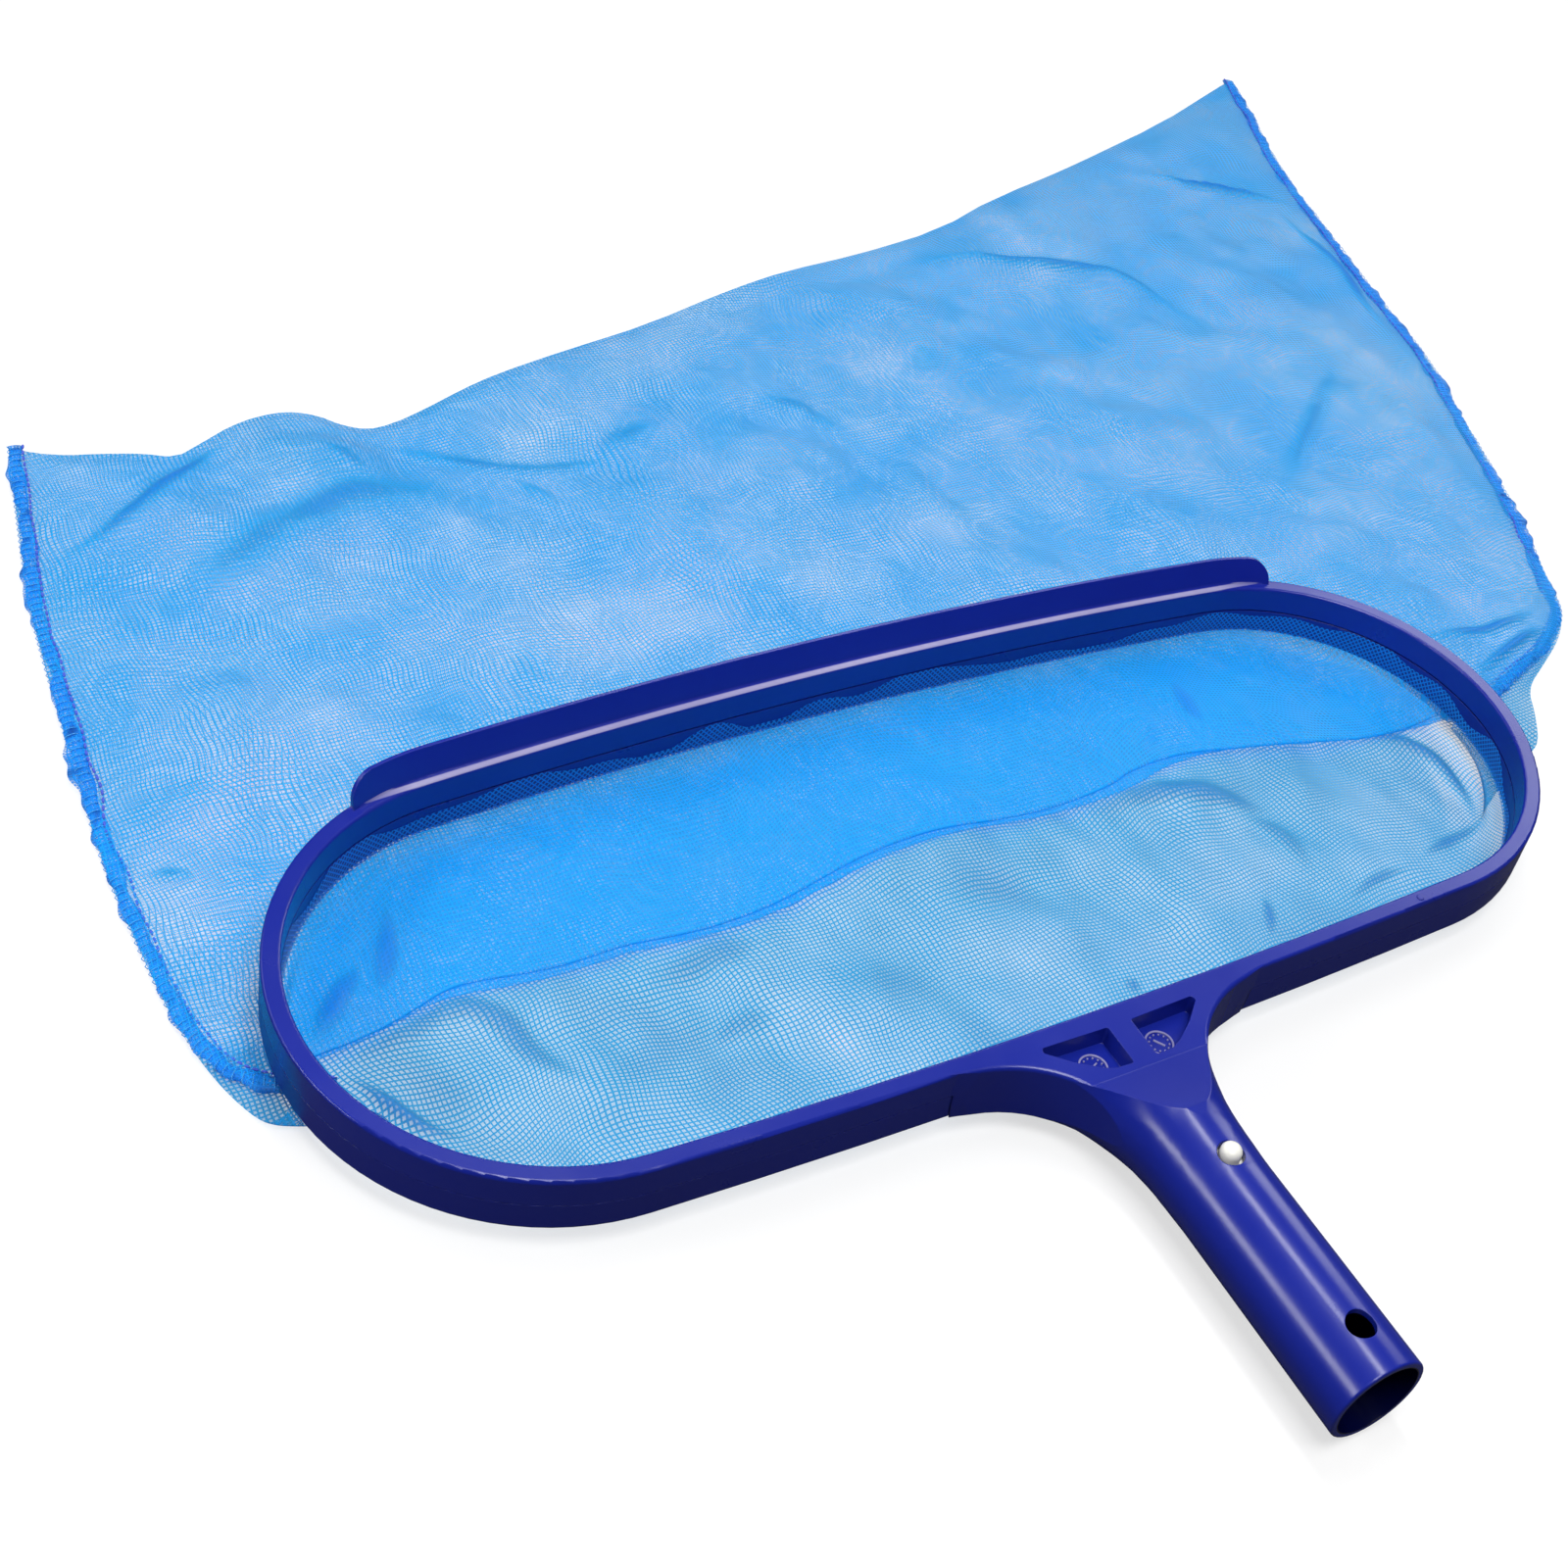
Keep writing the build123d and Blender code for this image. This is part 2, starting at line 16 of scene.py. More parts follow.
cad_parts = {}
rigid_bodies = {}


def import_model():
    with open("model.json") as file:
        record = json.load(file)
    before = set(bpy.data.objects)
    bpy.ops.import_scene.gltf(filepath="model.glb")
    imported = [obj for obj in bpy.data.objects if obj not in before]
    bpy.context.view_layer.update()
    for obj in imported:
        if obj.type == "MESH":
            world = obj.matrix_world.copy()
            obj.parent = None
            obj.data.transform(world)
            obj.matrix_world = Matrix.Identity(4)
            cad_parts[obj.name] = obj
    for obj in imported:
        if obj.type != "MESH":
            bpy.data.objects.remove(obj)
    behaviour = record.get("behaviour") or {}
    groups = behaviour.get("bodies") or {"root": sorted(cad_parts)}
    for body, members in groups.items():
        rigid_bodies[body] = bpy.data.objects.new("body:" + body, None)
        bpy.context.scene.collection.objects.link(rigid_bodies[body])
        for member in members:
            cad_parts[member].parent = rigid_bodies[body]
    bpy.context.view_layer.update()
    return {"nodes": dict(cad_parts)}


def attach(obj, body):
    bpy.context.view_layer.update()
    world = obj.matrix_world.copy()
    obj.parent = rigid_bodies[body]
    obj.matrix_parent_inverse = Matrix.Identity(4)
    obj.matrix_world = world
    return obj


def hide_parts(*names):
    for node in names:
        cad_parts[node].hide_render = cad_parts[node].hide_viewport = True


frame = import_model()

scene = bpy.context.scene
for old in list(bpy.data.objects):
    if old.type in {"LIGHT", "CAMERA"} or old.name == "Cube":
        bpy.data.objects.remove(old)

MM = 0.001
MOUTH_IN_PART = np.array([0.0, 167.6, 9.5])   # middle of the mouth from the part's origin, mm
FLOOR_Z = -26.7


def to_world(points):
    """Drawing millimetres to scene metres."""
    return (np.asarray(points, float) + MOUTH_IN_PART) * MM


# ------------------------------------------------------------------ small maths
def ease(x):
    """Smooth step from 0 to 1."""
    x = np.clip(x, 0.0, 1.0)
    return x * x * (3 - 2 * x)


def blend(start, end, share):
    return start * (1 - share) + end * share


def waves(x, y, length, seed, count=22):
    """Soft noise of unit variance made of random plane waves about the given wavelength."""
    rng = np.random.default_rng(seed)
    headings = rng.uniform(0, 2 * np.pi, count)
    frequencies = 2 * np.pi / (length * rng.uniform(0.6, 1.7, count))
    phases = rng.uniform(0, 2 * np.pi, count)
    total = np.zeros(np.broadcast(x, y).shape)
    for heading, frequency, phase in zip(headings, frequencies, phases):
        total = total + np.cos(frequency * (np.cos(heading) * x + np.sin(heading) * y) + phase)
    return total * math.sqrt(2.0 / count)


def steps(points):
    return np.linalg.norm(np.diff(points, axis=0), axis=1)


def resample(points, count):
    """The same line with evenly spaced points."""
    points = np.asarray(points, float)
    run = np.r_[0, np.cumsum(steps(points))]
    stations = np.linspace(0, run[-1], count)
    return np.stack([np.interp(stations, run, column) for column in points.T], 1)


def soften(points, passes=2, count=400):
    """A smooth curve got by cutting the corners of a line."""
    points = np.asarray(points, float)
    for _ in range(passes):
        cut = np.empty((2 * len(points), points.shape[1]))
        cut[0], cut[-1] = points[0], points[-1]
        cut[1:-1:2] = 0.75 * points[:-1] + 0.25 * points[1:]
        cut[2:-1:2] = 0.25 * points[:-1] + 0.75 * points[1:]
        points = cut
    return resample(points, count)


def unit_tangents(line):
    tangent = np.gradient(line, axis=0)
    return tangent / np.maximum(np.linalg.norm(tangent, axis=1, keepdims=True), 1e-9)


def offset_line(line, distance):
    """A plan line moved to its own left."""
    tangent = unit_tangents(line)
    distance = np.broadcast_to(np.asarray(distance, float), (len(line),))
    return line + distance[:, None] * np.c_[-tangent[:, 1], tangent[:, 0]]


def nearest_on_line(x, y, line):
    """Distance to a line, and how far along it (0..1) the nearest point is."""
    best = np.full(x.shape, 1e9)
    along = np.zeros(x.shape)
    pieces = len(line) - 1
    for i in range(pieces):
        start = line[i]
        step = line[i + 1] - start
        share = ((x - start[0]) * step[0] + (y - start[1]) * step[1]) / max(step @ step, 1e-9)
        share = np.clip(share, 0, 1)
        away = np.hypot(x - start[0] - share * step[0], y - start[1] - share * step[1])
        near = away < best
        best = np.where(near, away, best)
        along = np.where(near, (i + share) / pieces, along)
    return best, along


def strokes(x, y, table):
    """Strength of the soft strokes of a crease table, thin and faint at both ends."""
    out = np.zeros(x.shape)
    for width, strength, points in table:
        away, along = nearest_on_line(x, y, soften(points, 2, 40))
        fade = ease(np.minimum(along, 1 - along) / 0.46 + 0.04)
        profile = np.exp(-((away / (width * (0.45 + 0.55 * fade))) ** 2))
        out = np.maximum(out, strength * profile * fade)
    return out


# ------------------------------------------------------------------- the hoop
# The outline is four arcs: two small ends, a flat rear arc and a flatter front one.
END_X, END_RADIUS = 135.0, 75.0
REAR_CENTRE_Y, REAR_RADIUS = -1659.52, 1740.0
FRONT_CENTRE_Y, FRONT_RADIUS = 2861.81, 2940.0
REAR_ANGLE = math.atan2(-REAR_CENTRE_Y, END_X)
FRONT_ANGLE = math.atan2(-FRONT_CENTRE_Y, END_X)


def hoop_half(front, count):
    """Arc centre, radius and outward direction at even stations from the left end to the right."""
    if front:
        centre_y, radius, angle = FRONT_CENTRE_Y, FRONT_RADIUS, FRONT_ANGLE
        last = 2 * math.pi + angle
    else:
        centre_y, radius, angle = REAR_CENTRE_Y, REAR_RADIUS, REAR_ANGLE
        last = angle
    first = math.pi - angle
    arcs = [   # centre, radius, start and end angle
        ((-END_X, 0), END_RADIUS, math.pi, first),
        ((0, centre_y), radius, first, last),
        ((END_X, 0), END_RADIUS, angle, 0.0),
    ]
    lengths = [size * abs(end - start) for _, size, start, end in arcs]
    ends = np.cumsum([0] + lengths)
    centres, radii, outward = np.zeros((count, 2)), np.zeros(count), np.zeros((count, 2))
    for i, run in enumerate(np.linspace(0, ends[-1], count)):
        k = min(int(np.searchsorted(ends, run, side="right")) - 1, 2)
        centre, size, start, end = arcs[k]
        turn = start + (end - start) * (run - ends[k]) / lengths[k]
        centres[i], radii[i], outward[i] = centre, size, (math.cos(turn), math.sin(turn))
    return centres, radii, outward


def hoop_points(half, inset):
    centres, radii, outward = half
    return centres + (radii - np.asarray(inset, float))[:, None] * outward


def inside_hoop(x, y, inset=0.0):
    """How far a point is inside the hoop's outline moved in by inset, in mm; negative outside."""
    rear = REAR_RADIUS - np.hypot(x, y - REAR_CENTRE_Y)
    front = FRONT_RADIUS - np.hypot(x, y - FRONT_CENTRE_Y)
    left = END_RADIUS - np.hypot(x + END_X, y)
    right = END_RADIUS - np.hypot(x - END_X, y)
    end_from = 138   # |x| past which the end arcs count
    return np.where(
        x < -end_from, left, np.where(x > end_from, right, np.minimum(rear, front))) - inset


# ---------------------------------------------------------------- mesh helpers
def link_object(name, mesh):
    ob = bpy.data.objects.new(name, mesh)
    scene.collection.objects.link(ob)
    return ob


def shade_smooth(mesh):
    mesh.polygons.foreach_set("use_smooth", np.ones(len(mesh.polygons), bool))


def grid_object(name, pos, fab, closed=False):
    """A sheet from (rows, columns, 3) positions in mm; fab holds thread coordinates and density."""
    rows, columns = pos.shape[:2]
    co = to_world(pos.reshape(-1, 3))
    index = np.arange(rows * columns).reshape(rows, columns)
    if closed:
        index = np.concatenate([index, index[:, :1]], 1)
    corners = [index[:-1, :-1], index[:-1, 1:], index[1:, 1:], index[1:, :-1]]
    faces = np.stack(corners, -1).reshape(-1, 4)
    mesh = bpy.data.meshes.new(name)
    mesh.vertices.add(len(co))
    mesh.vertices.foreach_set("co", co.astype(np.float32).ravel())
    mesh.loops.add(faces.size)
    mesh.loops.foreach_set("vertex_index", faces.ravel().astype(np.int32))
    mesh.polygons.add(len(faces))
    mesh.polygons.foreach_set("loop_start", np.arange(0, faces.size, 4, dtype=np.int32))
    mesh.polygons.foreach_set("loop_total", np.full(len(faces), 4, np.int32))
    mesh.update(calc_edges=True)
    mesh.validate()
    shade_smooth(mesh)
    attribute = mesh.attributes.new("fab", "FLOAT_VECTOR", "POINT")
    attribute.data.foreach_set("vector", fab.reshape(-1, 3).astype(np.float32).ravel())
    return link_object(name, mesh)


def tube(path, radius, sides, flat=1.0):
    """Vertices and faces of a capped tube along a path in mm."""
    path = np.asarray(path, float)
    count = len(path)
    radius = np.broadcast_to(np.asarray(radius, float), (count,))[:, None, None]
    tangent = unit_tangents(path)
    side = np.cross(tangent, [0, 0, 1.0])
    steep = np.linalg.norm(side, axis=1) < 0.15
    side[steep] = np.cross(tangent[steep], np.array([1.0, 0.2, 0]))
    side /= np.maximum(np.linalg.norm(side, axis=1, keepdims=True), 1e-9)
    normal = np.cross(side, tangent)
    turn = np.linspace(0, 2 * np.pi, sides, endpoint=False)[None, :, None]
    rings = (path[:, None] + radius * np.cos(turn) * side[:, None]
             + radius * flat * np.sin(turn) * normal[:, None])
    faces = []
    for i in range(count - 1):
        here, there = i * sides, (i + 1) * sides
        for j in range(sides):
            k = (j + 1) % sides
            faces.append((here + j, here + k, there + k, there + j))
    faces.append(tuple(range(sides - 1, -1, -1)))
    faces.append(tuple((count - 1) * sides + j for j in range(sides)))
    return rings.reshape(-1, 3), faces


def tubes_object(name, tubes):
    points, faces, base = [], [], 0
    for tube_points, tube_faces in tubes:
        points.append(tube_points)
        faces += [tuple(i + base for i in face) for face in tube_faces]
        base += len(tube_points)
    mesh = bpy.data.meshes.new(name)
    mesh.from_pydata([tuple(p) for p in to_world(np.concatenate(points))], [], faces)
    mesh.update()
    shade_smooth(mesh)
    return link_object(name, mesh)


# ============================================================ outlines of the bag
# Plan points (x, y) in mm.
BAG_LEFT = [
    (-226, 31), (-226.5, 44), (-227, 60), (-227, 90), (-224, 126), (-221, 160), (-217, 202),
    (-209, 246), (-202, 283),
]
BAG_FAR = [
    (-202, 283), (-189, 275), (-174, 271.5), (-162, 268), (-153, 263), (-142, 269), (-130, 276),
    (-119, 279.5), (-108, 280), (-99, 275), (-94, 268.5), (-86, 263), (-76, 264), (-62, 269),
    (-46, 276), (-30, 282), (4, 291), (41, 299), (81, 311), (113, 319), (147, 324), (197, 334),
    (234, 351), (303, 374), (355, 392), (412, 420), (425, 425),
]
BAG_RIGHT = [
    (296, 38), (303, 52), (311, 70), (321, 92), (335, 126), (347, 160), (359, 190), (371, 250),
    (379, 282), (392, 337), (407, 378), (425, 425),
]
# Where the upper sheet, coming from the rear rim, folds back under itself across the mouth.
FOLD = [
    (-204.0, 4), (-194, 5), (-183, 6), (-171, 9), (-157, 14), (-146, 13), (-135, 11), (-122, 10),
    (-106, 11), (-92, 9), (-76, 8), (-55, 10), (-36, 15), (-16, 19), (6, 20), (28, 16), (48, 15),
    (69, 17), (80, 21), (101, 22), (119, 18), (138, 14), (157, 9), (170, 6), (186, 5), (204.0, 7),
]
# Sides of each sheet, from the hoop's ends to the far corners.
LOWER_LEFT = [(-204.2, -8), (-208.5, -14), (-215, -10), (-220.5, 2), (-224, 16)] + BAG_LEFT
LOWER_RIGHT = [
    (204.2, -9), (217, -18), (232, -18), (244, -3), (251, 9), (266, 17), (284, 27),
] + BAG_RIGHT
UPPER_LEFT = [(-204.0, -3), (-209, -1), (-216, 4), (-221, 10), (-224.5, 22)] + BAG_LEFT
UPPER_RIGHT = [(204.0, 4), (222, 6), (238, 9), (254, 15), (269, 20), (284, 28)] + BAG_RIGHT
# The stitched seams leave the outline near the rim and run in under it.
SEAM_LEFT = [
    (-197, -8), (-203, -4.5), (-209, -1.5), (-215.5, 3), (-220.5, 9), (-224.2, 20),
] + BAG_LEFT
SEAM_RIGHT = [(208, 4), (224, 6), (238, 9.5), (254, 15.5), (269, 21), (284, 29)] + BAG_RIGHT

# Creases: width in mm, strength, plan points.
CREASES_UPPER = [
    (3.0, 0.80, [(-210, 216), (-192, 225), (-175, 235), (-155, 250), (-142, 260), (-128, 268)]),
    (9.0, 0.55, [(-213, 179), (-196, 177), (-173, 190), (-156, 200), (-134, 210), (-110, 219),
                 (-90, 217), (-64, 208), (-40, 196)]),
    (2.5, 0.50, [(-109, 249), (-104, 237), (-97, 224)]),
    (3.0, 0.60, [(-94, 251), (-80, 243), (-62, 230), (-44, 220), (-21, 219), (-3, 219)]),
    (2.5, 0.50, [(-51, 220), (-43, 204), (-40, 196)]),
    (2.0, 0.60, [(-219, 82), (-209, 77), (-207, 72)]),
    (3.0, 0.80, [(149, 312), (193, 301), (237, 289), (255, 275), (262, 248), (272, 227)]),
    (5.0, 0.50, [(-20, 222), (-2, 227), (16, 230)]),
    (3.0, 0.50, [(50, 237), (67, 232), (76, 216), (81, 209)]),
    (7.0, 0.30, [(120, 237), (142, 242)]),
    (2.2, 1.00, [(307, 351), (328, 340), (344, 332), (353, 324), (367, 315), (381, 312)]),
    (2.2, 0.90, [(364, 315), (363, 295), (364, 275), (364, 258), (352, 225), (352, 204)]),
    (4.0, 0.45, [(314, 199), (289, 180), (264, 159), (246, 144), (230, 130), (214, 119)]),
    (2.0, 0.90, [(221, 42), (246, 38), (264, 36), (279, 39), (284, 39)]),
    (2.0, 0.80, [(229, 18), (257, 26), (275, 31), (280, 31)]),
]
CREASES_INNER = [   # upper sheet, inside the mouth
    (3.0, 0.70, [(-162, 53), (-163, 43), (-167, 32), (-173, 21), (-181, 9)]),
    (3.5, 0.70, [(-178, 32), (-177, 28), (-180, 24), (-185, 20), (-193, 11), (-198, 6)]),
    (3.5, 0.50, [(118, 54), (116, 36), (121, 27)]),
]
CREASES_LOWER = [
    (2.2, 1.00, [(167, 8), (181, 7), (191, -9), (191, -21), (189, -30), (182, -40)]),
    (1.8, 0.90, [(150, -45), (164, -42), (180, -41), (192, -36)]),
    (1.6, 0.80, [(118, -50), (132, -46), (150, -46)]),
    (4.0, 0.75, [(58, 10), (75, 13), (94, 9), (110, -2), (121, -13)]),
    (3.5, 0.50, [(104, -4), (113, -13), (115, -24), (112, -38)]),
    (1.4, 0.90, [(92, -38), (89, -45), (84, -54)]),
    (1.6, 0.80, [(30, -50), (31, -58)]),
    (4.0, 0.75, [(-194, 2), (-173, 4), (-162, 8), (-153, 8), (-146, -1), (-145, -12),
                 (-141, -21), (-129, -33), (-126, -36)]),
    (6.0, 0.35, [(-109, -4), (-88, 0), (-59, 1)]),
    (4.0, 0.35, [(-98, -28), (-84, -25), (-73, -25)]),
    (1.8, 0.85, [(-192, -1), (-187, -10), (-182, -20), (-178, -27), (-169, -33)]),
]
# Places where the upper sheet is pulled open and looks paler; same columns.
PALE_UPPER = [
    (13.0, 0.45, [(-100, 262), (-60, 258), (-20, 268), (40, 284), (90, 298), (140, 306)]),
    (16.0, 0.45, [(190, 322), (250, 342), (310, 362)]),
    (26.0, 0.35, [(-190, 130), (-150, 150), (-100, 160), (-40, 150), (20, 130), (70, 120)]),
    (22.0, 0.45, [(335, 250), (325, 200), (300, 140), (280, 90)]),
    (12.0, 0.40, [(-195, 250), (-180, 255)]),
    (10.0, 0.35, [(268, 52), (240, 60)]),
]

# ============================================================ shapes of the sheets
COLUMNS = 300
LOWER_ROWS, UPPER_ROWS = 230, 210
INNER_ROWS, TURN_ROWS = 44, 7        # upper sheet: hem to fold, and round the fold
REAR, FRONT = hoop_half(False, COLUMNS), hoop_half(True, COLUMNS)
FAR_EDGE = soften(BAG_FAR, 1, COLUMNS)
EDGE_GAP = 0.25                      # each sheet's distance from the middle of the shared edge
UNDER_FOLD_Z = -21.2
# The lower sheet's way down from the hem: inset from the hoop's outline, height.
LOWER_PROFILE = [
    (5.75, -16.4), (6.0, -17.6), (6.9, -18.9), (8.4, -20.2), (10.4, -21.5), (13.0, -22.8),
    (16.0, -23.8), (20.0, -24.6),
]


def coons_patch(near, far, left, right, hold=0.0):
    """Plan points (rows, columns, 2) between four border lines.
    hold keeps the pull of the sides near the sides over the first rows."""
    u = np.linspace(0, 1, len(near))[None, :, None]
    v = np.linspace(0, 1, len(left))[:, None, None]
    left, right = left[:, None], right[:, None]
    power = 1 + hold * (1 - ease(v / 0.35))
    left_pull = left - blend(left[:1], left[-1:], v)
    right_pull = right - blend(right[:1], right[-1:], v)
    return blend(near[None], far[None], v) + (1 - u) ** power * left_pull + u ** power * right_pull


def sheet_plan(near, left, right, rows, hold=0.0):
    """The sheet's plan from its near line to the far edge, and its u and v coordinates."""
    sides = []
    for points, start in ((left, near[0]), (right, near[-1])):
        line = resample(soften(points), rows)
        # the first twentieth bends so as to start on the near line
        pull = (1 - ease(np.linspace(0, 1, rows) / 0.05))[:, None]
        sides.append(line - (line[0] - start) * pull)
    plan = coons_patch(near, FAR_EDGE, *sides, hold=hold)
    u, v = np.linspace(0, 1, COLUMNS)[None, :], np.linspace(0, 1, rows)[:, None]
    return plan[..., 0], plan[..., 1], u, v


def edge_height(u):
    """Height of the bag's outer edge, where it lies nearly on the floor."""
    return -24.2 + 0.9 * np.sin(9.0 * u + 0.6) * np.sin(23.0 * u)


def edge_share(u, v):
    """1 on the sides and the far edge, 0 inside and by the rim."""
    band = 0.03
    sides = 1 - ease(np.minimum(u, 1 - u) / band)
    return np.maximum(sides, 1 - ease((1 - v) / band)) * ease(v / 0.1)


def lower_sheet():
    """Positions and flat cloth coordinates of the sheet hung from the front half of the hoop."""
    u = np.linspace(0, 1, COLUMNS)
    taper = np.minimum(ease(u / 0.05), ease(u[::-1] / 0.22))
    first_inset, first_z = LOWER_PROFILE[0]
    last_inset = LOWER_PROFILE[-1][0]
    runs = np.r_[0, np.cumsum(steps(LOWER_PROFILE))]
    full_run = runs[-1]
    end_drop = -5.4   # fall of the wall at the hoop's ends, where it hangs straight
    wall_foot = hoop_points(FRONT, first_inset + (last_inset - first_inset) * taper)
    wall, wall_flat = [], []
    for (inset, z), run in zip(LOWER_PROFILE, runs):
        plan = hoop_points(FRONT, first_inset + (inset - first_inset) * taper)
        height = first_z + (z - first_z) * taper + (1 - taper) * (end_drop * (run / full_run))
        wall.append(np.c_[plan, height])
        wall_flat.append(wall_foot + FRONT[2] * (full_run - run))
    x, y, u, v = sheet_plan(wall[-1][:, :2], LOWER_LEFT, LOWER_RIGHT, LOWER_ROWS, hold=11.0)

    # nearly flat on the floor, with folds and creases where the mouth shows it
    mouth = ease(inside_hoop(x, y, 8.0) / 10.0)
    z = -25.1 + 0.21 * waves(x, y, 90, 11)
    z = z + mouth * (0.9 + 0.75 * waves(x, y, 46, 12) + 0.3 * waves(x, y, 20, 13))
    z = z + mouth * 2.3 * strokes(x, y, CREASES_LOWER)
    # kept above the floor and, behind the fold, below the upper sheet
    fold = soften(FOLD)
    before_fold = ease((np.interp(x, fold[:, 0], fold[:, 1]) - y - 1.0) / 6.0)
    z = np.clip(z, -26.2, -22.9 + 2.4 * before_fold)
    z = blend(wall[-1][:, 2][None], z, ease(v / 0.07))
    z = blend(z, edge_height(u) - EDGE_GAP, edge_share(u, v))
    pos = np.concatenate([np.stack(wall), np.dstack([x, y, z])[1:]], 0)
    flat = np.concatenate([np.stack(wall_flat), np.dstack([x, y])[1:]], 0)
    return pos, flat


def fold_rows():
    """The upper sheet from the rear hem to the fold and round it, and the fold's plan line."""
    fold = resample(soften(FOLD), 900)
    hem = hoop_points(REAR, 6.9)
    # match the fold to the hem by the share of the way from left to right
    share = (hem[:, 0] - hem[0, 0]) / (hem[-1, 0] - hem[0, 0])
    fold_x = fold[0, 0] + share * (fold[-1, 0] - fold[0, 0])
    fold = np.stack([fold_x, np.interp(fold_x, fold[:, 0], fold[:, 1])], 1)
    live = ease(np.linalg.norm(fold - hem, axis=1) / 25.0)   # 0 where the sheet has no width
    rows, flats = [], []
    for i in range(INNER_ROWS):
        s = i / (INNER_ROWS - 1)
        plan = hem + (fold - hem) * s ** 1.15
        x, y = plan[:, 0], plan[:, 1]
        drop = -17.4 - 2.6 * ease(s / 0.25) + 0.6 * math.sin(math.pi * s)
        z = drop + live * ease(s / 0.15) * ease((1 - s) / 0.10) * (
            0.45 * waves(x, y, 38, 21) + 0.25 * waves(x, y, 15, 22)
            + 1.9 * strokes(x, y, CREASES_INNER)
        )
        z = np.maximum(z, -20.3) - (1 - live) * s
        rows.append(np.c_[plan, z])
        flats.append(np.c_[x, 2 * fold[:, 1] - y])   # unfolded about the fold line
    top = rows[-1][:, 2]
    radius, middle = (top - UNDER_FOLD_Z) / 2, (top + UNDER_FOLD_Z) / 2
    for i in range(1, TURN_ROWS):
        turn = math.pi * i / TURN_ROWS
        plan = fold + np.c_[np.zeros(COLUMNS), -radius * math.sin(turn)]
        rows.append(np.c_[plan, middle + radius * math.cos(turn)])
        flats.append(np.c_[plan[:, 0], fold[:, 1] - 0.2 + 0.4 * i / TURN_ROWS])
    return rows, flats, fold


def upper_sheet():
    """Positions and flat cloth coordinates of the sheet hung from the rear half of the hoop."""
    rows, flats, fold = fold_rows()
    x, y, u, v = sheet_plan(fold, UPPER_LEFT, UPPER_RIGHT, UPPER_ROWS)
    free = ease((-inside_hoop(x, y) - 3.0) / 16.0)           # outside the rim, free to rise
    border = ease(np.minimum(np.minimum(u, 1 - u) / 0.10, (1 - v) / 0.10))
    puff = (1.8 + 1.9 * waves(x, y, 95, 31) + 0.9 * waves(x, y, 42, 32)
            + 0.22 * waves(x, y, 17, 33))
    puff = np.maximum(puff, 0)
    ridge = 3.6 * strokes(x, y, CREASES_UPPER)
    z = UNDER_FOLD_Z - 1.0 * ease(v / 0.06)
    z = z + free * border * (0.4 + puff) + free * (0.35 + 0.65 * border) * ridge
    edge_z = edge_height(u)
    z = blend(z, edge_z + EDGE_GAP + 0.6 * ridge * free, edge_share(u, v))
    z = np.minimum(z, -20.6 + 30 * free)                     # stays below the rim
    # the last row meets the lower sheet, so the far edge is a real fold
    z[-1] = edge_z[0] - EDGE_GAP
    pos = np.concatenate([np.stack(rows), np.dstack([x, y, z])[1:]], 0)
    flat = np.concatenate([np.stack(flats), np.dstack([x, y])[1:]], 0)
    return pos, flat


def thread_coords(flat, angle, seed, density):
    """Slightly warped coordinates across and along the threads (angle in degrees), and density."""
    angle = math.radians(angle)
    x, y = flat[..., 0], flat[..., 1]
    across, along = [
        value + 1.6 * waves(x, y, 70, seed + k) + 0.5 * waves(x, y, 28, seed + k + 1)
        for value, k in ((x, 0), (y, 2))
    ]
    return np.dstack([math.cos(angle) * across + math.sin(angle) * along,
                      -math.sin(angle) * across + math.cos(angle) * along, density])


# ==================================================================== materials
class Nodes:
    """A cleared node tree with its output. Inputs take a value or a socket to link."""

    def __init__(self, owner, output_kind="ShaderNodeOutputMaterial"):
        owner.use_nodes = True
        self.owner, self.tree = owner, owner.node_tree
        self.tree.nodes.clear()
        self.output = self.tree.nodes.new(output_kind)

    def node(self, kind, inputs=None, **settings):
        node = self.tree.nodes.new(kind)
        for name, value in settings.items():
            setattr(node, name, value)
        for key, value in (inputs or {}).items():
            if isinstance(value, bpy.types.NodeSocket):
                self.tree.links.new(value, node.inputs[key])
            else:
                node.inputs[key].default_value = value
        return node

    def math(self, operation, *values, clamp=False):
        inputs = dict(enumerate(values))
        return self.node("ShaderNodeMath", inputs, operation=operation, use_clamp=clamp).outputs[0]

    def times(self, first, second):
        return self.math("MULTIPLY", first, second)

    def between(self, value, low, high):
        return self.times(self.math("GREATER_THAN", value, low),
                          self.math("LESS_THAN", value, high))

    def fade(self, value, start, width):
        """Rises from 0 to 1 as value passes start by width."""
        return self.math("DIVIDE", self.math("SUBTRACT", value, start), width, clamp=True)

    def ramp(self, factor, *stops):
        node = self.node("ShaderNodeValToRGB", {0: factor})
        for element, (position, colour) in zip(node.color_ramp.elements, stops):
            element.position = position
            element.color = (*colour, 1)
        return node.outputs[0]

    def noise(self, vector, **inputs):
        return self.node("ShaderNodeTexNoise", {"Vector": vector, **inputs}).outputs["Fac"]

    def mix_colour(self, factor, first, second, **settings):
        return self.node("ShaderNodeMix", None, data_type="RGBA", **settings), \
            {0: factor, 6: first, 7: second}

    def colour_mix(self, factor, first, second, **settings):
        return self.node("ShaderNodeMix", {0: factor, 6: first, 7: second},
                         data_type="RGBA", **settings).outputs[2]

    def shader_mix(self, factor, first, second):
        inputs = {0: factor, 1: first, 2: second}
        return self.node("ShaderNodeMixShader", inputs).outputs[0]

    def finish(self, surface):
        self.tree.links.new(surface, self.output.inputs["Surface"])
        return self.owner


del Nodes.mix_colour


def new_material(name):
    return Nodes(bpy.data.materials.new(name))


